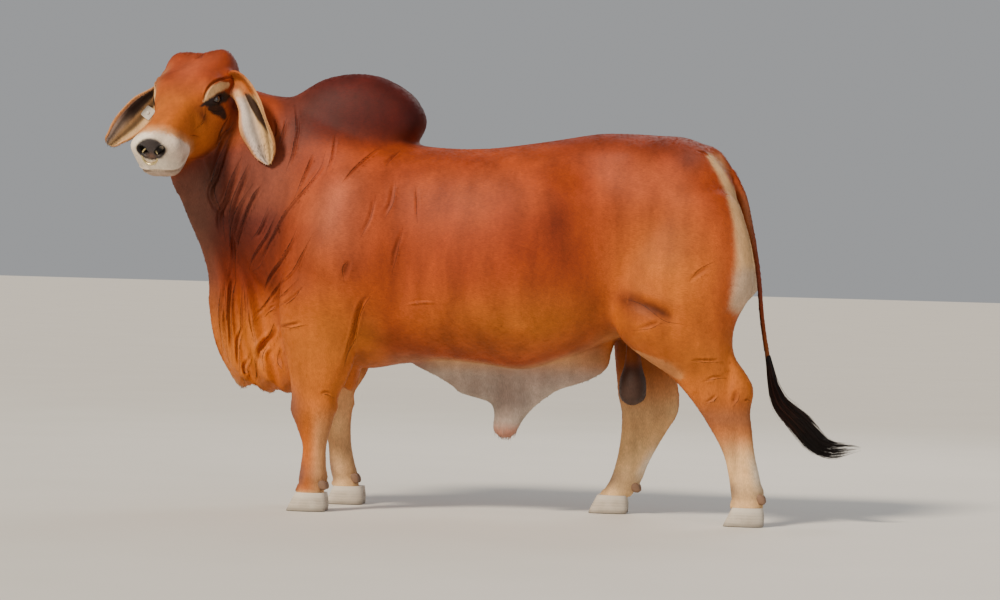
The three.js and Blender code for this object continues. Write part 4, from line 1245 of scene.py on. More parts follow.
def markings(points, normals):
    """The coat's colour at each point, as linear red, green and blue, and two shares: bare skin and the
    leather of the nose."""
    colours = bpy.context.scene.bull_colours
    tone = {name: np.array(getattr(colours, name)) for name in BullColours.__annotations__}
    x, y, z = points.T
    mirrored = np.stack([x, -np.abs(y), z], 1)
    colour = np.tile(tone["red"], (len(points), 1))

    def lay(name, share):
        nonlocal colour
        colour = colour + (tone[name] - colour) * np.clip(share, 0, 1)[:, None]

    head = to_head(points)
    s, left, n = head.T
    out = np.abs(left)
    on_head = head_share(points)
    off_head = 1 - on_head * fade(-n, 205, 285)
    lay("mahogany", 0.97 * ramp(z, 1310, 1440) * ramp(-x, 230, 330) * off_head)
    lay("mahogany", 0.8 * ramp(-x, 640, 860) * ramp(z, 560, 1100) * off_head)
    lay("mauve", 0.22 * ramp(-x, 700, 860) * ramp(z, 900, 1150) * off_head)
    lay("rose", 0.3 * ramp(-x, 640, 800) * ramp(z, 1040, 1150) * off_head)
    lay("mahogany", 0.5 * ramp(z, 1310, 1400) * off_head)
    for name, strength, at, reach in MARKS:
        lay(name, strength * bell(mirrored, at, reach))
    flat = mirrored * (1, 0, 1)
    lay("cream", 0.95 * stroke(flat, FLANK_RIM) * ramp(np.abs(y), 90, 130))
    beside_tail = ramp(np.abs(y), 30, 46)
    lay("cream", 0.75 * stroke(flat, BUTTOCK_RIM, 0.3) * beside_tail)
    lay("ash", 0.5 * stroke(flat, BUTTOCK_RIM[-2:], 0.3) * beside_tail)
    throat = ramp(-x, 1010, 1110) * fade(z, 1180, 1300) * off_head
    lay("taupe", 0.45 * throat)
    lay("orange", 0.7 * ramp(-x, 780, 880) * fade(z, 480, 860))
    belly = fade(np.abs(y), 40, 190) * fade(z, 560, 660) * ramp(x, -330, -200)
    lay("cream", 0.5 * belly)
    # Legs
    hind = ramp(x, 230, 330)
    fore = 1 - hind
    lower = fade(z, 560, 860)
    lay("orange", 0.75 * lower * np.maximum(ramp(-x, 340, 460), ramp(x, 340, 460)))
    lay("taupe", 0.5 * hind * peak(z, 385, 50))
    lay("cream", 0.85 * hind * fade(z, 220, 370))
    inner = ramp(-normals[:, 1] * np.sign(y), -0.2, 0.7)
    # Painted shade on the inner side of the upper legs, which faces the other leg
    lay("mahogany", 0.45 * inner * ramp(z, 420, 560) * fade(z, 700, 860))
    lay("cream", 0.6 * inner * fade(z, 380, 560))
    lay("cream", 0.45 * fore * ramp(x, -670, -615) * fade(z, 240, 420))
    lay("white", 0.7 * hind * ramp(normals[:, 0], 0.1, 0.8) * peak(z, 190, 60))
    front = ramp(-normals[:, 0], 0.1, 0.8)
    lay("mauve", 0.6 * fore * front * peak(z, 385, 70))
    lay("mauve", 0.7 * fore * (0.3 + 0.7 * front) * peak(z, 130, 62))
    lay("mauve", 0.65 * hind * (0.4 + 0.6 * front) * peak(z, 128, 40))
    lay("cream", 0.6 * fade(z, 64, 80))
    # Sheath and scrotum
    sheath = fade(np.abs(x - 40), 400, 440) * fade(np.abs(y), 40, 64) * fade(z, 500, 580)
    lay("ash", 0.85 * sheath)
    lay("rose", 0.6 * sheath * fade(z, 300, 345))
    scrotum = fade(np.abs(x - 502), 64, 84) * fade(np.abs(y), 62, 84) * fade(z, 640, 720)
    lay("mahogany", 0.7 * scrotum)
    ball = scrotum * fade(z, 530, 590)
    lay("slate", 0.9 * ball)
    lay("taupe", 0.3 * ball)
    lay("black", 0.4 * ball)
    # Tail
    tail = ramp(x, 850, 880) * fade(np.abs(y), 30, 44) * fade(z, 1180, 1260)
    lay("mahogany", 0.5 * tail * ramp(x, 900, 930))
    # Painted shade: black on the side of the lower tail that faces the buttock
    lay("black", 0.85 * tail * front * fade(z, 760, 960))
    # Head
    lay("mahogany", 0.3 * on_head * fade(s, 0, 120))
    lay("orange", 0.8 * on_head * ramp(s, 120, 330) * fade(-n, 185, 260))
    # Painted sheen on the forehead
    lay("rose", 0.35 * on_head * bell(head, (120, 0, 20), (90, 60, 50)))
    ragged = np.sin(0.9 * s + 3 * np.sin(0.31 * n)) * np.sin(0.7 * out + 0.5 * n)
    white_edge = 484 - 0.78 * np.clip(-n - 30, 0, 95) + 7 * ragged
    under = fade(-n, 165, 205)
    lay("cream", 0.5 * on_head * ramp(s, white_edge - 60, white_edge) * under)
    lay("white", 0.97 * on_head * ramp(s, white_edge - 14, white_edge + 14) * under)
    folded = np.stack([s, out, n], -1)
    lay("taupe", 0.7 * on_head * ramp(s, 440, 480) * ramp(-n, 140, 150))
    lay("taupe", 0.45 * on_head * bell(folded, (484, 88, -122), (34, 24, 14)))
    # Painted highlight along the edge of the right brow
    lay("cream", 0.5 * on_head * bell(head, (150, -118, -30), (70, 26, 40)))
    across = np.abs(left + NOSE_SHIFT / 2)
    pad = on_head * ramp(s, 505, 515) * fade(np.hypot(across / 62, (n + 50) / 40), 0.88, 1.04)
    lay("slate", 0.98 * pad)
    lay("taupe", 0.7 * pad * bell(head, (545, -NOSE_SHIFT / 2, -72), (30, 16, 12)))
    # Painted light on the brow ridge
    lay("cream", 0.85 * on_head * stroke(folded, BROW_LIT_BAND))
    lay("mahogany", 0.7 * on_head * bell(folded, (284, 98, -76), (14, 30, 34)))
    lay("mahogany", 0.6 * on_head * bell(folded, (120, 142, -120), (50, 30, 60)))
    # Painted shade on the lower cheek
    lay("mahogany", 0.6 * on_head * bell(folded, (215, 130, -205), (75, 50, 60)))
    lay("black", 0.93 * on_head * stroke(folded, UNDER_EYE))
    # Painted shade in the fold from the eye's inner corner
    lay("black", 0.8 * on_head * stroke(folded, INNER_CORNER_FOLD_SHADE))
    # Black over the lids: their dark skin, with painted shade under the brow
    lids = on_head * stroke(folded, LIDS_AND_BROW_SHADE)
    lay("black", 0.97 * lids)
    # Painted shade inside each nostril
    hole = on_head * stroke(folded, NOSTRIL_SHADE)
    lay("black", 0.96 * hole)
    bare = np.maximum.reduce([0.35 * ball, 0.45 * sheath, pad, 0.8 * lids, hole])
    return colour, bare, pad


# Materials


def plug(tree, target, sockets):
    """Gives a node's sockets their values, or links them to the outputs of others."""
    for name, value in sockets.items():
        if isinstance(value, bpy.types.NodeSocket):
            tree.links.new(value, target.inputs[name])
        else:
            target.inputs[name].default_value = value


def node(tree, kind, sockets, **settings):
    """Adds a node with its settings, and fills its sockets."""
    new = tree.nodes.new("ShaderNode" + kind)
    for name, value in settings.items():
        setattr(new, name, value)
    plug(tree, new, sockets)
    return new


def span(value, low, high, start, end):
    """What a Map Range node reads: the value and its range, and what that range becomes."""
    return {"Value": value, "From Min": low, "From Max": high, "To Min": start, "To Max": end}


def new_material(name):
    """An empty material: its node tree, its shader and its object coordinates."""
    material = bpy.data.materials.new(name)
    material.use_nodes = True
    tree = material.node_tree
    tree.nodes.clear()
    shader = node(tree, "BsdfPrincipled", {})
    node(tree, "OutputMaterial", {"Surface": shader.outputs["BSDF"]})
    return material, tree, shader, node(tree, "TexCoord", {}).outputs["Object"]


MIX_COLOURS = {"data_type": "RGBA", "clamp_result": True}


def uneven(tree, at, colour):
    """Broad changes of a coat's tone: upright streaks about 70 mm wide, paler or darker, and patches about
    200 mm wide that are deeper."""
    upright = node(tree, "Mapping", {"Vector": at, "Scale": (14, 14, 3.6)})
    streak = node(tree, "TexNoise", {"Vector": upright.outputs[0], "Scale": 1.0, "Detail": 4.0})
    patch = node(tree, "TexNoise", {"Vector": at, "Scale": 5.0, "Detail": 3.0})
    tone = node(tree, "MapRange", span(streak.outputs["Fac"], 0.3, 0.7, 0.74, 1.18))
    lit = node(tree, "VectorMath", {0: colour, "Scale": tone.outputs[0]}, operation="SCALE")
    deep = node(tree, "VectorMath", {0: lit.outputs[0], 1: (0.74, 0.6, 0.56)}, operation="MULTIPLY")
    share = node(tree, "MapRange", span(patch.outputs["Fac"], 0.42, 0.66, 0, 0.6))
    both = {0: share.outputs[0], 6: lit.outputs[0], 7: deep.outputs[0]}
    return node(tree, "Mix", both, **MIX_COLOURS).outputs[2]


def coat_material():
    """Short flat hair over skin: a soft sheen along the body, fine streaks, and broad changes of tone.
    Real hairs are about 0.1 mm wide, too fine to show, so streaks are drawn 1.6 mm wide."""
    material, tree, shader, at = new_material("short_hair_coat")
    tint = node(tree, "Attribute", {}, attribute_name="coat_colour")
    kind = node(tree, "Attribute", {}, attribute_name="skin_kind")
    kinds = node(tree, "SeparateColor", {"Color": kind.outputs["Color"]}).outputs
    lie = node(tree, "Mapping", {"Vector": at, "Scale": (70, 620, 620)})
    streaks = node(tree, "TexNoise", {"Vector": lie.outputs[0], "Scale": 1.0, "Detail": 3.0})
    upright = node(tree, "Mapping", {"Vector": at, "Scale": (620, 620, 70)})
    down = node(tree, "TexNoise", {"Vector": upright.outputs[0], "Scale": 1.0, "Detail": 3.0})
    both = {0: kinds["Blue"], 2: streaks.outputs["Fac"], 3: down.outputs["Fac"]}
    hair = node(tree, "Mix", both, data_type="FLOAT")
    small = node(tree, "TexNoise", {"Vector": at, "Scale": 60.0, "Detail": 3.0})
    tone = node(tree, "MapRange", span(hair.outputs[0], 0.3, 0.7, 0.78, 1.2))
    speckle = node(tree, "MapRange", span(small.outputs["Fac"], 0.3, 0.7, 0.92, 1.08))
    light = node(tree, "Math", {0: tone.outputs[0], 1: speckle.outputs[0]}, operation="MULTIPLY")
    broad = uneven(tree, at, tint.outputs["Color"])
    shaded = node(tree, "VectorMath", {0: broad, "Scale": light.outputs[0]}, operation="SCALE")
    rough = node(tree, "MapRange", span(kinds["Red"], 0, 1, 0.6, 0.34))
    bumps = node(tree, "Bump", {"Height": hair.outputs[0], "Strength": 0.35, "Distance": 0.0012})
    pebbles = node(tree, "TexVoronoi", {"Vector": at, "Scale": 330.0}, feature="SMOOTH_F1")
    leather = node(tree, "Math", {0: pebbles.outputs["Distance"], 1: kinds["Green"]}, operation="MULTIPLY")
    grain = {"Height": leather.outputs[0], "Strength": 0.6, "Distance": 0.0015, "Normal": bumps.outputs[0]}
    plug(tree, shader, {
        "Base Color": shaded.outputs[0], "Roughness": rough.outputs[0],
        "Normal": node(tree, "Bump", grain).outputs[0], "Specular IOR Level": 0.22,
        "Sheen Weight": 0.03, "Sheen Roughness": 0.35, "Sheen Tint": linear("#FFD9C0"),
    })
    return material


def tuft_material():
    """Clumps of hair a little glossier than the skin, each with its own tone."""
    material, tree, shader, at = new_material("hair_tufts")
    tint = node(tree, "Attribute", {}, attribute_name="coat_colour")
    broad = uneven(tree, at, tint.outputs["Color"])
    plug(tree, shader, {"Base Color": broad, "Roughness": 0.55, "Specular IOR Level": 0.24})
    return material


def eye_material():
    """A wet dark eye: a nearly black pupil in a brown iris under a clear coat."""
    material, tree, shader, _ = new_material("wet_eye")
    tint = node(tree, "Attribute", {}, attribute_name="eye_colour").outputs["Color"]
    wet = {"Roughness": 0.08, "Coat Weight": 1.0, "Coat Roughness": 0.03}
    plug(tree, shader, {"Base Color": tint, **wet})
    return material


def horn_material(name, horn, dark_tone, pale_tone):
    """Worn horn: growth rings about 5 mm apart, fine upright fibres, a pale new band under the hair and a
    grey rough edge at the floor."""
    material, tree, shader, at = new_material(name)
    bands = {"Vector": at, "Scale": 32.0, "Distortion": 3.0, "Detail": 2.0}
    rings = node(tree, "TexWave", bands, bands_direction="Z").outputs["Fac"]
    fibre = node(tree, "Mapping", {"Vector": at, "Scale": (420, 420, 30)})
    fibres = node(tree, "TexNoise", {"Vector": fibre.outputs[0], "Scale": 1.0, "Detail": 4.0})
    stain = node(tree, "TexNoise", {"Vector": at, "Scale": 26.0, "Detail": 5.0})
    tone = node(tree, "Mix", {0: rings, 6: linear(dark_tone), 7: horn}, **MIX_COLOURS).outputs[2]
    worn = {0: stain.outputs["Fac"], 6: tone, 7: linear(pale_tone)}
    tone = node(tree, "Mix", worn, **MIX_COLOURS).outputs[2]
    level = node(tree, "SeparateXYZ", {"Vector": at}).outputs["Z"]
    layers = (
        # from and to this level in metres the share changes so, to this colour
        (0.04, 0.06, 0.0, 0.75, pale_tone),
        (0.002, 0.022, 0.7, 0.0, "#6F675C"),
    )
    for low, high, start, end, colour in layers:
        share = node(tree, "MapRange", span(level, low, high, start, end), interpolation_type="SMOOTHSTEP")
        layer = {0: share.outputs[0], 6: tone, 7: linear(colour)}
        tone = node(tree, "Mix", layer, **MIX_COLOURS).outputs[2]
    lines = node(tree, "Bump", {"Height": fibres.outputs["Fac"], "Distance": 0.001, "Strength": 0.4})
    ridge = {"Height": rings, "Distance": 0.0006, "Strength": 0.12, "Normal": lines.outputs[0]}
    normal = node(tree, "Bump", ridge).outputs[0]
    plug(tree, shader, {"Base Color": tone, "Roughness": 0.55, "Normal": normal})
    return material


def mottled(tree, at, scale, detail, first, second):
    """A noise, and the colour that it mixes from two."""
    noise = node(tree, "TexNoise", {"Vector": at, "Scale": scale, "Detail": detail}).outputs["Fac"]
    both = {0: noise, 6: linear(first), 7: linear(second)}
    return noise, node(tree, "Mix", both, **MIX_COLOURS).outputs[2]


def brass_material():
    """Polished brass that years of wear have dulled in soft patches."""
    material, tree, shader, at = new_material("polished_brass")
    worn, metal = mottled(tree, at, 160.0, 4.0, "#E6D6A2", "#C9B077")
    rough = node(tree, "MapRange", span(worn, 0, 1, 0.2, 0.45)).outputs[0]
    plug(tree, shader, {"Base Color": metal, "Roughness": rough, "Metallic": 1.0})
    return material


def tag_material():
    """Moulded polyurethane: matt white, a little dirty, with a fine grain."""
    material, tree, shader, at = new_material("moulded_polyurethane")
    dirt, plastic = mottled(tree, at, 90.0, 5.0, "#F1EDE2", "#D9D0BC")
    grain = node(tree, "Bump", {"Height": dirt, "Distance": 0.0004, "Strength": 0.3}).outputs[0]
    plug(tree, shader, {"Base Color": plastic, "Roughness": 0.5, "Normal": grain})
    return material


def floor_material():
    """Pale painted studio floor with a faint mottle."""
    material, tree, shader, at = new_material("painted_floor")
    _, paint_tone = mottled(tree, at, 1.4, 3.0, "#CFCCC4", "#D8D5CE")
    plug(tree, shader, {"Base Color": paint_tone, "Roughness": 0.75})
    return material


# Operators, one for each piece or group of like pieces

FLESH = (
    "nose_pad jaw head hump dewlap neck chest barrel hindquarters sheath scrotum tail_upper tail_lower"
).split() + [f"{name.replace('_', 'leg_')}_{part}" for name in LEGS for part in ("upper", "lower")]


class BULL_OT_skin(bpy.types.Operator):
    """Builds the one folded skin that stands for all flesh"""

    bl_idname = "bull.skin"
    bl_label = "Skin"

    def execute(self, context):
        points, faces, folds = build_skin_arrays()
        points, faces = thin(points, faces, context.scene.bull_sizes.skin_triangles)
        mesh = make_mesh("skin", points, faces)
        normals = normals_of(points, faces)
        colour, bare, leather = markings(points, normals)
        # Painted shade in the folds: the colour darkens along each groove, more for deeper folds and a little
        # more in green and blue
        tint = np.zeros(len(points))
        for fold in folds:
            near, _, groove = fold.profile(points)
            if fold.depth > 0:
                tint[near] = np.maximum(tint[near], groove**2 * min(1.4, fold.depth / 6))
        colour = colour * (1 - 0.66 * tint[:, None]) ** (1.0, 1.15, 1.2)
        upright = fade(points[:, 2], 500, 760) + ramp(-points[:, 0], 760, 900)
        paint(mesh, "coat_colour", colour)
        paint(mesh, "skin_kind", np.stack([bare, leather, np.clip(upright, 0, 1)], 1))
        place(mesh, "skin", coat_material(), "coat", FLESH)
        return {"FINISHED"}


class BULL_OT_eyes(bpy.types.Operator):
    """Builds both eyes: a ball with a bulging cornea, iris and long pupil"""

    bl_idname = "bull.eyes"
    bl_label = "Eyes"

    def execute(self, context):
        material = eye_material()
        for word, side in SIDES:
            centre = EYE * (1, -side, 1)
            gaze = unit(np.array([0.30, -side * 0.95, 0.02]))
            right = unit(np.cross(gaze, (0, 0, 1)))
            over = np.cross(right, gaze)

            def point(place_at, angle, open_):
                width = np.sqrt(np.clip(1 - place_at**2, 0, 1))
                bulge = 1 + 0.05 * np.exp(-((width / 0.55) ** 2)) * (place_at > 0)
                turned = (width * np.cos(angle), right), (width * np.sin(angle), over), (place_at, gaze)
                ball = laid_out(0, *turned)
                return from_head(centre + ball * EYE_RADIUS * bulge[..., None])

            points, faces = loft(point, -1, 1, 60, 64, start_cap=0.01, end_cap=0.002, cap_rings=1)
            mesh = make_mesh(f"eye_{word}", points, faces)
            local = (to_head(points) - centre) / EYE_RADIUS
            across, level = local @ right, local @ over
            iris = np.hypot(across, level)
            pupil = np.hypot(across / 0.36, level / 0.2)
            front = local @ gaze > 0
            shade = np.tile(rgb("#2A150C"), (len(points), 1))
            white = ramp(iris, 0.66, 0.74)[:, None] * rgb("#4A3328")
            shade = shade * (1 - ramp(iris, 0.66, 0.74)[:, None]) + white
            shade = shade * ramp(pupil, 0.85, 1.1)[:, None] ** front[:, None]
            paint(mesh, "eye_colour", shade)
            place(mesh, f"eye_{word}_wet", material, "eyes", [f"eye_{word}"])
        return {"FINISHED"}


EARS = {
    # rows of the place along the ear, its half width as a share of the whole and how far its edges curl
    # forward; then the middle and tip of its spine, and the way that its cup opens
    "left": (
        [[0, 0.17, 1.26], [0.15, 0.42, 1.2], [0.35, 0.4, 0.75], [0.55, 0.43, 0.68], [0.75, 0.57, 1],
         [0.9, 0.44, 0.43], [1, 0.24, 0.2]],
        (-929, -156, 1592), (-845, -188, 1265), (-0.48, -0.95, -0.166),
    ),
    "right": (
        [[0, 0.16, 1.29], [0.15, 0.27, 1.4], [0.35, 0.43, 0.86], [0.55, 0.48, 0.89], [0.75, 0.385, 0.67],
         [0.9, 0.24, 0.52], [1, 0.19, 0.47]],
        (-1378, -74, 1442), (-1479, -75, 1328), (0.365, -0.95, -0.359),
    ),
}
EAR_COLUMNS = 96
# The painted shadow in the slot of the near ear's cup: place along and across it, nothing, half width
EAR_SLOT_SHADOW = [(0.52, 0.08, 0, 0.1), (0.6, -0.13, 0, 0.15), (0.69, -0.34, 0, 0.12), (0.79, -0.52, 0, 0.05)]


def ear_blade(word):
    """A long ear: a leaf curled round its spine, which is a parabola through three points."""
    side = -1 if word == "left" else 1
    root = from_head(np.array([82, -side * (BROW - 14), -62]))
    rows, *places = EARS[word]
    middle, tip, opening = (np.array(v, float) for v in places)
    sizes = eased(rows)

    def blade(t, v, lift):
        width, curl = sizes(np.clip(t, 0, 1))
        u = t[..., None]
        spine = root * (1 - u) ** 2 + middle * 2 * u * (1 - u) + tip * u**2
        tangent = unit((middle - root) * (1 - u) + (tip - middle) * u)
        front = unit(opening - (tangent @ opening)[..., None] * tangent)
        across = np.cross(tangent, front)
        radius = EAR_WIDTH * width / curl
        raised = radius - (radius - lift) * np.cos(v * curl)
        return laid_out(spine, ((radius - lift) * np.sin(v * curl), across), (raised, front))

    return blade


class BULL_OT_ears(bpy.types.Operator):
    """Builds both long, cupped ears with their inner ridges and rolled edges"""

    bl_idname = "bull.ears"
    bl_label = "Ears"

    def execute(self, context):
        material = coat_material()
        material.name = "ear_hair"
        colours = context.scene.bull_colours
        rng = np.random.default_rng(3)
        for word, _ in SIDES:
            blade = ear_blade(word)

            def point(t, angle, open_):
                inner = angle > np.pi + 1e-6
                v = np.where(inner, 2 * (angle / np.pi - 1) - 1, 1 - 2 * angle / np.pi) * open_
                wall = EAR_THICKNESS / 2 * (1 - 0.4 * t) * np.sqrt(1 - 0.7 * v**2) * open_
                ridges = 2.4 * np.cos(9 * v) * ramp(t, 0.12, 0.3) * fade(t, 0.7, 0.95) * inner
                roll = 3.2 * peak(np.abs(v), 0.9, 0.1)
                return blade(t, v, np.where(inner, wall + ridges + roll, -wall - 0.4 * roll))

            points, faces = loft(point, 0, 1, 110, EAR_COLUMNS, start_cap=0.05, end_cap=0.08)
            mesh = make_mesh(f"ear_{word}", points, faces)
            rings = (len(points) - 2) // EAR_COLUMNS
            t = np.concatenate([[0], np.repeat(np.linspace(0, 1, rings), EAR_COLUMNS), [1]])
            angle = np.arange(EAR_COLUMNS) * 2 * np.pi / EAR_COLUMNS
            angle = np.concatenate([[0], np.tile(angle, rings), [0]])
            inner = ramp(angle, np.pi - 0.1, np.pi + 0.2) * fade(angle, 2 * np.pi - 0.2, 2 * np.pi)
            v = np.where(angle > np.pi, 2 * (angle / np.pi - 1) - 1, 1 - 2 * angle / np.pi)
            red, cream, orange, dark = (
                np.array(getattr(colours, c)) for c in ("red", "cream", "orange", "mahogany")
            )
            edge = np.abs(v)
            spots = np.stack([t, v, 0 * t], 1)
            outer_tone = mix(red, orange, ramp(t, 0.1, 0.5)[:, None])
            rim = ramp(t, 0.2, 0.45) if word == "left" else 1 + 0 * t
            outer_tone = mix(outer_tone, cream, (0.45 * rim * ramp(edge, 0.7, 1))[:, None])
            inner_tone = mix(cream, rgb("#D9CCC0"), ramp(v, -0.2, 0.5)[:, None])
            # Painted shade: darker in the troughs between the inner ridges, and all over near the root
            furrow_shade = 0.62 + 0.38 * np.cos(9 * v) * ramp(t, 0.1, 0.3)
            inner_tone = inner_tone * np.clip(furrow_shade + 0.2, 0.3, 1)[:, None]
            if word == "left":
                conch = fade(t + 0.09 * v, 0.42, 0.5)
                inner_tone = mix(inner_tone, mix(red, orange, 0.6), 0.9 * conch[:, None])
                bulge = bell(spots, (0.36, 0.55, 0), (0.08, 0.4, 1))
                inner_tone = mix(inner_tone, cream, 0.8 * bulge[:, None])
                # Painted shadow deep in the slot of the cup
                slot = stroke(spots, EAR_SLOT_SHADOW)
                inner_tone = mix(inner_tone, 0.2 * dark, 0.95 * slot[:, None])
            else:
                shade = ramp(v, -0.15, 0.1) * fade(v, 0.72, 0.86) * fade(t, 0.5, 0.8)
                inner_tone = mix(inner_tone, 0.2 * dark, 0.92 * shade[:, None])
            rim_share = 0.8 * rim * ramp(edge, 0.74, 0.9)
            inner_tone = mix(inner_tone, mix(orange, cream, 0.35), rim_share[:, None])
            specks = rng.uniform(0, 1, len(t)) < 0.35 * ramp(t, 0.82, 0.97)
            inner_tone = np.where(specks[:, None], 0.4 * inner_tone, inner_tone)
            tone = mix(outer_tone, inner_tone, inner[:, None])
            paint(mesh, "coat_colour", tone)
            paint(mesh, "skin_kind", np.stack([0.3 * inner, 0 * inner, 0 * inner + 1], 1))
            place(mesh, f"ear_{word}_hair", material, "coat", [f"ear_{word}"])
        return {"FINISHED"}


TAG_PLACE = (0.4, -0.5)
TAG_LIFT = 4.5


class BULL_OT_tag(bpy.types.Operator):
    """Builds the plain tag in the right ear: a plate with rounded corners on a domed stud"""

    bl_idname = "bull.tag"
    bl_label = "Ear tag"

    def execute(self, context):
        blade = ear_blade("right")
        t, v = (np.array([value]) for value in TAG_PLACE)
        wall = np.array([EAR_THICKNESS / 2])
        base = blade(t, v, wall)[0]
        out = unit(blade(t, v, wall + 1)[0] - base)
        down = blade(t + 0.01, v, wall)[0] - base
        down = unit(down - (down @ out) * out)
        across = np.cross(down, out)

        def plate(level, angle, open_):
            corner = 0.22
            x = np.sign(np.cos(angle)) * np.abs(np.cos(angle)) ** corner * (19.5 - 1.2 * (1 - open_))
            y = np.sign(np.sin(angle)) * np.abs(np.sin(angle)) ** corner * (22.5 - 1.2 * (1 - open_))
            x, y = x * (open_ > 0), y * (open_ > 0)
            return laid_out(base, (x, across), (y, down), (level, out))

        def stud(level, angle, open_):
            x, y = 6.8 * np.cos(angle) * open_, 6.8 * np.sin(angle) * open_
            return laid_out(base, (x, across), (y, down), (level, out))

        bodies = [
            loft(plate, TAG_LIFT, TAG_LIFT + 2.2, 3, 96, start_cap=0.5, end_cap=0.5, cap_rings=3),
            loft(stud, 0.6, TAG_LIFT + 5, 12, 32, end_cap=2.6, cap_rings=5),
        ]
        mesh = make_mesh("ear_tag", *join(bodies))
        place(mesh, "ear_tag_plate", tag_material(), "ear_tag", ["ear_tag"])
        return {"FINISHED"}


RING_STEPS = 144
RING_SIDES = 20


class BULL_OT_ring(bpy.types.Operator):
    """Builds the nose ring: a ring of round wire with the joint of its clasp"""

    bl_idname = "bull.ring"
    bl_label = "Nose ring"

    def execute(self, context):
        hang = unit(np.array([0.42, 0, -0.91]))
        centre = np.array([HEAD_LENGTH - 5, -NOSE_SHIFT - 6, -76])
        i, j = np.meshgrid(np.arange(RING_STEPS), np.arange(RING_SIDES), indexing="ij")
        turn, round_ = i * 2 * np.pi / RING_STEPS, j * 2 * np.pi / RING_SIDES
        joint = 1 - 0.1 * peak(turn, 0.9, 0.03) - 0.1 * peak(turn, 2.2, 0.03)
        radius = RING_RADIUS + RING_WIRE * joint * np.cos(round_)
        level = RING_WIRE * joint * np.sin(round_)
        side = np.array([0, 1.0, 0])
        normal = np.cross(side, hang)
        steps = (radius * np.cos(turn), side), (radius * np.sin(turn), hang), (level, normal)
        local = laid_out(centre, *steps)
        next_i, next_j = (i + 1) % RING_STEPS, (j + 1) % RING_SIDES
        corners = (i, j), (i, next_j), (next_i, next_j), (next_i, j)
        quads = np.stack([step * RING_SIDES + side_at for step, side_at in corners], -1)
        faces = halved(quads.reshape(-1, 4))
        points = from_head(local.reshape(-1, 3))
        mesh = make_mesh("nose_ring", points, outward(points, faces))
        place(mesh, "nose_ring_brass", brass_material(), "nose_ring", ["nose_ring"])
        return {"FINISHED"}


class BULL_OT_hooves(bpy.types.Operator):
    """Builds the eight claws and their dewclaws, with growth rings and worn edges"""

    bl_idname = "bull.hooves"
    bl_label = "Hooves"

    def execute(self, context):
        material = horn_material("hoof_horn", (*context.scene.bull_colours.horn, 1), "#8E8373", "#D2C8B7")
        spur_material = horn_material("dewclaw_horn", linear("#6A4A36"), "#4A342A", "#85664E")
        rng = np.random.default_rng(5)
        for name, (toe, rear, level_of) in FEET.items():
            middle = side_of(name) * middle_of(name)
            for word, out in (("outer", 1), ("inner", -1)):
                away = side_of(name) * out
                side = middle + away * (CLAW_WIDTH + CLAW_SPACE) / 2
                half, heel = CLAW_WIDTH / 2, toe + CLAW_LENGTH
                rows = [
                    [0, toe, toe + CLAW_LENGTH * 0.5, heel, side, half, 2.3],
                    [CLAW_HEIGHT * 0.5, toe + 17, toe + CLAW_LENGTH * 0.56, heel + 1, side, half - 1, 2.2],
                    [CLAW_HEIGHT, toe + 34, toe + CLAW_LENGTH * 0.62, heel - 4, side, half - 5, 2.2],
                ]
                whole = section(*UPRIGHT, rows)
                phase = rng.uniform(0, 6)

                def point(level, angle, open_):
                    p = whole(level, angle, open_)
                    fine = np.sin(level / 2.1 + phase + 0.8 * np.cos(angle))
                    rings = fine + 0.8 * np.sin(level / 4.7 + 2 * phase)
                    worn = 0.5 * np.sin(5 * angle + phase) * fade(level, 3, 14)
                    lift = (0.1 * rings * ramp(level, 4, 14) + worn) * open_
                    return p + lift[..., None] * np.stack([np.sin(angle), np.cos(angle), 0 * angle], -1)

                points, faces = loft(point, 0, CLAW_HEIGHT, 44, 60, start_cap=1.5, cap_rings=3)
                mesh = make_mesh(f"hoof_{name}_{word}", points, faces)
                place(mesh, f"claw_{name}_{word}", material, "hooves", [f"hoof_{name}_{word}"])
                low, high = level_of - 22, level_of + 18
                side = middle + away * 26
                rows = [
                    [low, rear - 22, rear - 8, rear + 5, side, 8, 2],
                    [level_of, rear - 36, rear - 16, rear + 3, side, 12, 2],
                    [high, rear - 40, rear - 24, rear - 8, side, 11, 2],
                ]
                points, faces = loft(section(*UPRIGHT, rows), low, high, 16, 32, start_cap=8, end_cap=8)
                mesh = make_mesh(f"dewclaw_{name}_{word}", points, faces)
                place(mesh, f"spur_{name}_{word}", spur_material, "hooves", [f"dewclaw_{name}_{word}"])
        return {"FINISHED"}


def strands_along(path, starts, ends, offset, widths, rng, rings=13, columns=3):
    """Tapered locks along a path: each keeps its own offset from the path, and waves a little."""
    at, tangent = curve_through(path)
    count = len(starts)
    u = np.linspace(0, 1, rings)[None]
    t = starts[:, None] + (ends - starts)[:, None] * u
    spine = at(t)
    along = tangent(t)
    up = unit(np.cross(along, AXIS[1]))
    over, side = offset(t, u)
    centre = laid_out(spine, (over, up), (side, AXIS[1]))
    radius = widths[:, None] * (1 - 0.85 * u**1.5)
    angles = np.arange(columns) * 2 * np.pi / columns + rng.uniform(0, 6, count)[:, None]
    high, wide = radius[..., None] * np.cos(angles)[:, None], radius[..., None] * np.sin(angles)[:, None]
    ring = laid_out(centre[:, :, None], (high, up[:, :, None]), (wide, AXIS[1]))
    tips = centre[:, -1:] + along[:, -1:] * 6
    roots = centre[:, :1]
    points = np.concatenate([roots, ring.reshape(count, -1, 3), tips], axis=1)
    faces = tube_faces(rings, columns)
    points_flat = points.reshape(-1, 3)
    first = outward(points[0], faces)
    faces = first[None] + (np.arange(count) * points.shape[1])[:, None, None]
    return points_flat, faces.reshape(-1, 3), points.shape[1]


LOCKS = 46


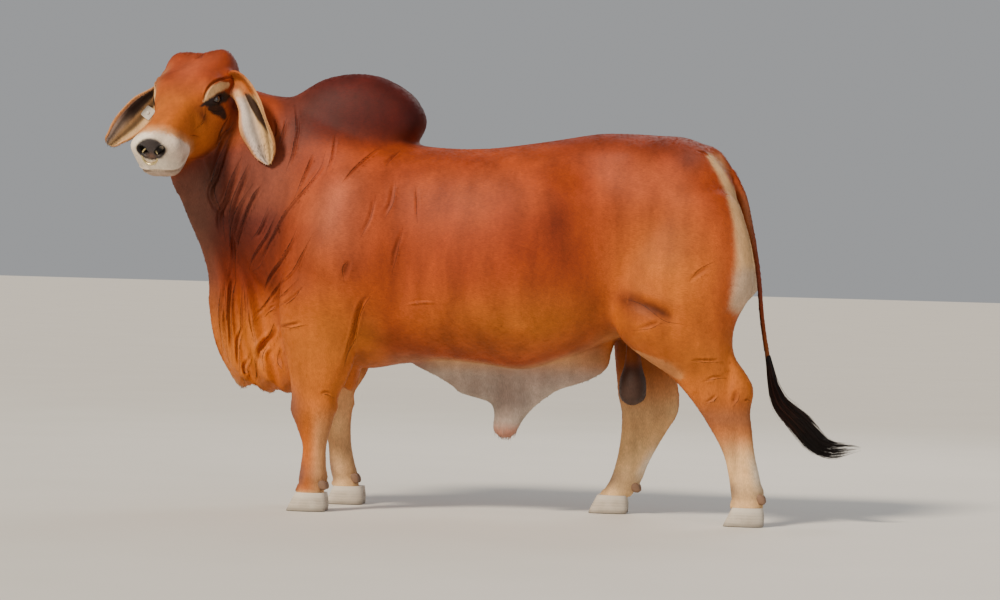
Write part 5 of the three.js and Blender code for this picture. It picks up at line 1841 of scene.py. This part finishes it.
class BULL_OT_switch(bpy.types.Operator):
    """Builds the black switch of the tail from tapered locks that sweep back"""

    bl_idname = "bull.switch"
    bl_label = "Tail switch"

    def execute(self, context):
        rng = np.random.default_rng(11)
        count = context.scene.bull_sizes.strands
        sizes = eased(SWITCH)
        starts = rng.uniform(0, 1, count) ** 1.3 * 0.5
        ends = np.minimum(starts + rng.uniform(0.32, 0.56, count), rng.uniform(0.86, 1.0, count))
        lock = rng.integers(0, LOCKS, count)
        lock_turn, lock_out = rng.uniform(0, 2 * np.pi, LOCKS), rng.uniform(0.35, 1.0, LOCKS) ** 0.6
        turn = lock_turn[lock] + rng.normal(0, 0.16, count)
        out = np.clip(lock_out[lock] + rng.normal(0, 0.07, count), 0, 1.06)
        wave = rng.uniform(0, 6, (2, LOCKS))[:, lock]

        def offset(t, u):
            half, deep = sizes(np.clip(t, 0, 1))
            spread_out = out[:, None] * (0.5 + 0.5 * u) * 0.96
            sway = 4 * u * np.sin(6 * t + wave[0][:, None])
            over = np.cos(turn)[:, None] * half * spread_out + sway
            side = np.sin(turn)[:, None] * deep * spread_out + 3 * u * np.sin(7 * t + wave[1][:, None])
            return over, side

        widths = rng.uniform(1.0, 2.0, count)
        points, faces, each = strands_along(SWITCH_PATH, starts, ends, offset, widths, rng)
        wide, deep = lambda t: sizes(t)[0] * 0.62, lambda t: sizes(t)[1] * 0.6
        core = sweep(SWITCH_PATH, wide, deep, 0, 0.6, 60, 40, end_cap=0.14)
        shade = np.repeat(rng.uniform(0.6, 1.7, count), each)
        black = np.array(context.scene.bull_colours.black)
        brown = rgb("#3A1D12")
        top = np.repeat(np.clip(1 - starts * 5, 0, 1) * rng.uniform(0, 1, count), each)
        tone = mix(black, brown, top[:, None]) * shade[:, None]
        points, faces = join([(points, faces), core])
        tone = np.concatenate([tone, np.tile(black, (len(core[0]), 1))])
        mesh = make_mesh("switch", points, faces)
        paint(mesh, "coat_colour", tone)
        place(mesh, "tail_switch_hair", tuft_material(), "switch_hair", ["tail_switch"])
        return {"FINISHED"}


def flat_on(way, normals):
    """A direction laid flat along the skin."""
    return unit(way - (way * normals).sum(-1, keepdims=True) * normals)


def lie_of(points, normals):
    """The way that the short hair lies: back and down along the trunk, down the legs, dewlap and tail, and
    up the face to the crown, always laid flat along the skin."""
    x, z = points[:, 0], points[:, 2]
    down = np.clip(ramp(-x, 780, 950) + 1 - ramp(z, 500, 760) + ramp(x, 850, 900), 0, 1)[:, None]
    way = mix(np.array([0.86, 0, -0.5]), np.array([0.1, 0, -1.0]), down)
    return flat_on(mix(way, FACE_UP * 0.2 - NOSEWARD, head_share(points)[:, None]), normals)


def hair_sizes(points, normals):
    """The length of a tuft and how close the tufts stand, as shares of those of the trunk: short and close
    on the face and feet, long on the crown, sheath tip, fetlocks, brisket edge and dock."""
    x, y, z = points.T
    head = to_head(points)
    face = head_share(points)
    feet = fade(z, 120, 420)
    length = 1 - 0.45 * face - 0.3 * feet
    crown = face * fade(head[:, 0], -20, 60)
    long = [
        crown,
        1.4 * ((z < 330) & (np.abs(x - 40) < 90)),
        1.1 * ramp(normals[:, 0], 0.2, 0.8) * peak(z, 118, 26),
        0.9 * ramp(-normals[:, 2], 0.3, 0.9) * ramp(-x, 780, 860) * fade(z, 440, 560),
        0.8 * ramp(x, 740, 800) * (np.abs(y) < 60) * ramp(z, 1180, 1260),
    ]
    return length + np.maximum.reduce(long), 1 + 1.5 * face + 0.8 * feet


def coat_part(points):
    """Which piece of the coat a place belongs to, and its place on that piece's unwrap: the trunk is rolled
    off along its length and round it, the head along its own length, and each leg and the tail upwards."""
    x, y, z = points.T
    head = to_head(points)
    turn = np.arctan2(y, z - 900) / (2 * np.pi) + 0.5
    head_turn = np.arctan2(head[:, 1], head[:, 2] + 110) / (2 * np.pi) + 0.5
    column = np.where(x > 880, 4, (x > 0) * 2 + (y > 0))
    middle_x = np.where(column < 2, -640, np.where(column == 2, 870, np.where(column == 3, 500, 960)))
    middle_y = np.where(column == 4, 0, np.where(y > 0, 200, -200))
    leg_turn = np.arctan2(y - middle_y, x - middle_x) / (2 * np.pi) + 0.5
    on_head = head_share(points) > 0.5
    low = (z < 620) & (np.abs(y) > 90) | (x > 880)
    third = (x > -480).astype(int) + (x > 260)
    part = np.where(on_head, 0, np.where(low, 1 + (x > 0), 3 + 2 * third + (y > 0)))
    along = np.where(on_head, (head[:, 0] + 120) / 720, np.where(low, z / 1300, (x + 1300) / 2300))
    around = np.where(on_head, head_turn, np.where(low, (column + leg_turn) / 5, turn))
    return part, np.clip(np.stack([around, along], 1), 0.002, 0.998)


COAT_PARTS = (
    "head", "forelegs", "hind_legs", "neck_left", "neck_right", "barrel_left", "barrel_right", "rump_left",
    "rump_right",
)
TUFT_FACES = np.array([
    [0, 2, 1], [0, 1, 4], [0, 4, 3], [1, 2, 5], [1, 5, 4],
    [2, 0, 3], [2, 3, 5], [3, 4, 6], [4, 5, 6], [5, 3, 6],
])
TUFT_PATCH = 0.003


def tuft_mesh(name, roots, normals, way, length, width, tone, unwrap):
    """Tufts as three-sided blades: each runs from a triangle sunk 1 mm in the skin, through a narrower one
    half way, to a point, rising about 8 degrees from the skin. They are lit like the skin, a little turned
    to each side, so that together they read as one coat."""
    count = len(roots)
    over = np.cross(normals, way) * (width / 2)[:, None]
    base = roots - normals
    half = base + way * (0.5 * length)[:, None] + normals * (0.09 * length)[:, None]
    tip = base + way * length[:, None] + normals * (0.13 * length)[:, None]
    points = np.stack([
        base - over, base + over, base + 0.9 * normals,
        half - 0.8 * over, half + 0.8 * over, half + 0.8 * normals, tip,
    ], 1)
    solid = outward(points[0], TUFT_FACES)
    faces = (solid[None] + points.shape[1] * np.arange(count)[:, None, None]).reshape(-1, 3)
    mesh = make_mesh(name, points.reshape(-1, 3), faces)
    side = unit(over)
    tilt = np.array([-0.35, 0.35, 0, -0.35, 0.35, 0, 0])
    lit = unit(normals[:, None] + side[:, None] * tilt[:, None])
    mesh.normals_split_custom_set_from_vertices(lit.reshape(-1, 3).tolist())
    light = np.array([0.94, 0.94, 0.94, 1.0, 1.0, 1.02, 1.08])
    paint(mesh, "coat_colour", (tone[:, None] * light[:, None]).reshape(-1, 3))
    spots = np.array([[-1, -1], [1, -1], [0, -1], [-0.8, 0], [0.8, 0], [0, 0], [0, 1]]) * TUFT_PATCH / 2
    laid = (unwrap[:, None] + spots).reshape(-1, 2)
    mesh.uv_layers.new(name="OFBake").data.foreach_set("uv", laid[faces.ravel()].astype(np.float32).ravel())
    return mesh


def sampled(points, faces, weight, count, rng):
    """Random places on triangles, as many on each as its area times its weight: the triangle and the
    shares of its three corners."""
    a, b, c = (points[faces[:, k]] for k in range(3))
    area = np.linalg.norm(np.cross(b - a, c - a), axis=1) * weight[faces].mean(1)
    chosen = rng.choice(len(faces), count, p=area / area.sum())
    r, q = np.sqrt(rng.uniform(0, 1, count)), rng.uniform(0, 1, count)
    return chosen, np.stack([1 - r, r * (1 - q), r * q], 1)


def colours_of(mesh, name):
    values = np.empty(len(mesh.vertices) * 4, np.float32)
    mesh.color_attributes[name].data.foreach_get("color", values)
    return values.reshape(-1, 4)[:, :3].astype(float)


FOLD_SHADE_LENGTH = 12.0


def fold_shade_tufts(points, faces, normals, tone, rng):
    """Painted shade along the bottom of each fold: dark tufts one after another along its path, laid on the
    finished skin, so that a fold shows as a thin dark line."""
    lines = [(path, depth) for path, _, depth in fold_lines(points, normals) if depth > 0]
    skin = BVHTree.FromPolygons(points.tolist(), faces.tolist())
    rows = []
    for path, depth in lines:
        at, _ = curve_through(path)
        length = np.linalg.norm(np.diff(path, axis=0), axis=1).sum()
        steps = np.linspace(0.03, 0.97, max(6, int(length / 5)))
        spots, ends = at(steps), ramp(steps, 0, 0.3) * ramp(1 - steps, 0, 0.3)
        ways = unit(np.gradient(spots, axis=0))
        for spot, way, end in zip(spots, ways, ends):
            hit, normal, face, _ = skin.find_nearest(spot.tolist())
            width = (1.3 + 0.22 * min(depth, 10)) * (0.45 + 0.55 * end)
            # Painted shade: the skin's colour darkened, most in the middle of the fold
            dark = tone[faces[face]].mean(0) * (0.5 - 0.3 * end)
            rows.append((*hit, *normal, *way, FOLD_SHADE_LENGTH, width, *dark))
    rows = np.array(rows)
    root, normal, way = rows[:, :3], rows[:, 3:6], rows[:, 6:9]
    way = flat_on(way, normal)
    return root, normal, way, rows[:, 9], rows[:, 10] * rng.uniform(0.9, 1.1, len(rows)), rows[:, 11:]


class BULL_OT_coat(bpy.types.Operator):
    """Builds the short coat: thin overlapping tufts that lie along the skin and the ears"""

    bl_idname = "bull.coat"
    bl_label = "Coat"

    def execute(self, context):
        sizes = context.scene.bull_sizes
        material = tuft_material()
        rng = np.random.default_rng(29)
        for piece, share in (("skin", 1.0), ("ear_left_hair", 0.035), ("ear_right_hair", 0.03)):
            mesh = bpy.data.objects[piece].data
            points, faces = arrays_of(mesh)
            normals = normals_of(points, faces)
            tone = colours_of(mesh, "coat_colour")
            bare = colours_of(mesh, "skin_kind")[:, 0]
            length, close = hair_sizes(points, normals)
            if piece != "skin":
                length, close, bare = 0 * length + 0.75, 0 * close + 1, 0 * bare
            weight = close * np.clip(1 - 1.6 * bare, 0, 1)
            chosen, shares = sampled(points, faces, weight, int(sizes.tufts * share), rng)

            def at(values):
                return np.einsum("ij,ij...->i...", shares, values[faces[chosen]])

            root, normal, colour = at(points), unit(at(normals)), at(tone)
            way = lie_of(root, normal)
            if piece != "skin":
                way = flat_on(np.array([0.1, 0, -1.0]), normal)
            turn = rng.normal(0, 0.2, len(root))[:, None]
            way = unit(way * np.cos(turn) + np.cross(normal, way) * np.sin(turn))
            long = at(length) * sizes.hair_length * 1000 * rng.uniform(0.7, 1.15, len(root))
            wide = np.clip(long * 0.16, 1.2, 2.4) * rng.uniform(0.8, 1.2, len(root))
            colour = colour * rng.uniform(0.86, 1.12, len(root))[:, None]
            part, unwrap = coat_part(root)
            names = COAT_PARTS if piece == "skin" else (piece.replace("_hair", ""),)
            for index, name in enumerate(names):
                some = part == index if piece == "skin" else slice(None)
                values = (v[some] for v in (root, normal, way, long, wide, colour, unwrap))
                tufts = tuft_mesh(f"coat_{name}", *values)
                place(tufts, f"coat_{name}", material, "coat", ())
            if piece == "skin":
                # Dark tufts along the folds, as painted shade
                lines = fold_shade_tufts(points, faces, normals, tone, rng)
                tufts = tuft_mesh("coat_folds", *lines, coat_part(lines[0])[1])
                place(tufts, "coat_folds", material, "coat", ())
        return {"FINISHED"}


CAMERA_PLACE = np.array([1584.3, -12903.1, 1006.4])
CAMERA_TURN = 7.0
CAMERA_DIP = 0.96
CAMERA_ROLL = 1.5
CAMERA_LENS = 126.5
FLOOR_REACH = 60.0
FLOOR_GAP = 0.0005


def set_up(name, data, across, over, back, spot):
    """Adds a camera or lamp whose own three axes and place are these."""
    turned = np.eye(4)
    turned[:3] = np.stack([across, over, back, spot], 1)
    thing = bpy.data.objects.new(name, data)
    thing.matrix_world = Matrix(turned.tolist())
    bpy.context.scene.collection.objects.link(thing)
    return thing


class BULL_OT_stage(bpy.types.Operator):
    """Sets the camera, the pale floor and soft studio light"""

    bl_idname = "bull.stage"
    bl_label = "Stage"

    def execute(self, context):
        scene = context.scene
        turn, dip, roll = np.radians([CAMERA_TURN, CAMERA_DIP, CAMERA_ROLL])
        right = np.array([np.cos(turn), np.sin(turn), 0])
        level = np.array([-np.sin(turn), np.cos(turn), 0])
        forward = level * np.cos(dip) - AXIS[2] * np.sin(dip)
        up = np.cross(right, forward)
        across = right * np.cos(roll) + up * np.sin(roll)
        over = -right * np.sin(roll) + up * np.cos(roll)
        data = bpy.data.cameras.new("camera")
        data.lens, data.sensor_width = CAMERA_LENS, 36.0
        data.clip_end = 200.0
        scene.camera = set_up("camera", data, across, over, -forward, CAMERA_PLACE / 1000 + SHIFT)
        corners = FLOOR_REACH * np.array([[-1, -1], [1, -1], [1, 1], [-1, 1]])
        floor_mesh = bpy.data.meshes.new("floor")
        floor_mesh.from_pydata([(x, y, -FLOOR_GAP) for x, y in corners.tolist()], [], [(0, 1, 2, 3)])
        floor_mesh.materials.append(floor_material())
        floor = bpy.data.objects.new("floor", floor_mesh)
        scene.collection.objects.link(floor)
        lamps = (
            # name, kind, place, aim, size, strength, tint
            ("key", "SUN", (-3.4, -4.6, 6.0), (0, 0, 0.9), 0.2, 4.4, "#FFF0DC"),
            ("fill", "AREA", (4.8, -5.2, 2.6), (0.2, 0, 0.8), 4.0, 60, "#F6F4FF"),
            ("rim", "AREA", (1.5, 4.6, 4.4), (0, 0, 1.0), 3.4, 90, "#FFFFFF"),
        )
        for name, kind, spot, aim, wide, power, tint in lamps:
            light = bpy.data.lights.new(name, kind)
            light.energy = power
            if kind == "SUN":
                light.angle = wide
            else:
                light.shape, light.size = "DISK", wide
            light.color = linear(tint)[:3]
            back = unit(np.array(spot, float) - np.array(aim, float))
            sideways = unit(np.cross(AXIS[2], back))
            set_up(name, light, sideways, np.cross(back, sideways), back, spot)
        world = bpy.data.worlds.new("studio")
        world.use_nodes = True
        sky = world.node_tree.nodes["Background"]
        sky.inputs["Color"].default_value = linear("#F2F4F7")
        sky.inputs["Strength"].default_value = 0.4
        scene.world = world
        return {"FINISHED"}


class BULL_PT_panel(bpy.types.Panel):
    """Lists the bull's pieces and settings"""

    bl_label = "Brahman bull"
    bl_space_type = "VIEW_3D"
    bl_region_type = "UI"
    bl_category = "Bull"

    def draw(self, context):
        for group in (context.scene.bull_sizes, context.scene.bull_colours):
            for name in group.__annotations__:
                self.layout.prop(group, name)
        for operator in OPERATORS:
            self.layout.operator(operator.bl_idname)


OPERATORS = (
    BULL_OT_stage,
    BULL_OT_skin,
    BULL_OT_eyes,
    BULL_OT_ears,
    BULL_OT_tag,
    BULL_OT_ring,
    BULL_OT_hooves,
    BULL_OT_switch,
    BULL_OT_coat,
)
GROUPS = (BullSizes, BullColours)


def register():
    for cls in (*GROUPS, *OPERATORS, BULL_PT_panel):
        bpy.utils.register_class(cls)
    bpy.types.Scene.bull_sizes = PointerProperty(type=BullSizes)
    bpy.types.Scene.bull_colours = PointerProperty(type=BullColours)


def unregister():
    del bpy.types.Scene.bull_sizes
    del bpy.types.Scene.bull_colours
    for cls in (BULL_PT_panel, *OPERATORS[::-1], *GROUPS[::-1]):
        bpy.utils.unregister_class(cls)


def main():
    register()
    bpy.ops.bull.stage()
    bpy.ops.bull.skin()
    bpy.ops.bull.eyes()
    bpy.ops.bull.ears()
    bpy.ops.bull.tag()
    bpy.ops.bull.ring()
    bpy.ops.bull.hooves()
    bpy.ops.bull.switch()
    bpy.ops.bull.coat()
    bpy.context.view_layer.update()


if __name__ == "__main__":
    main()
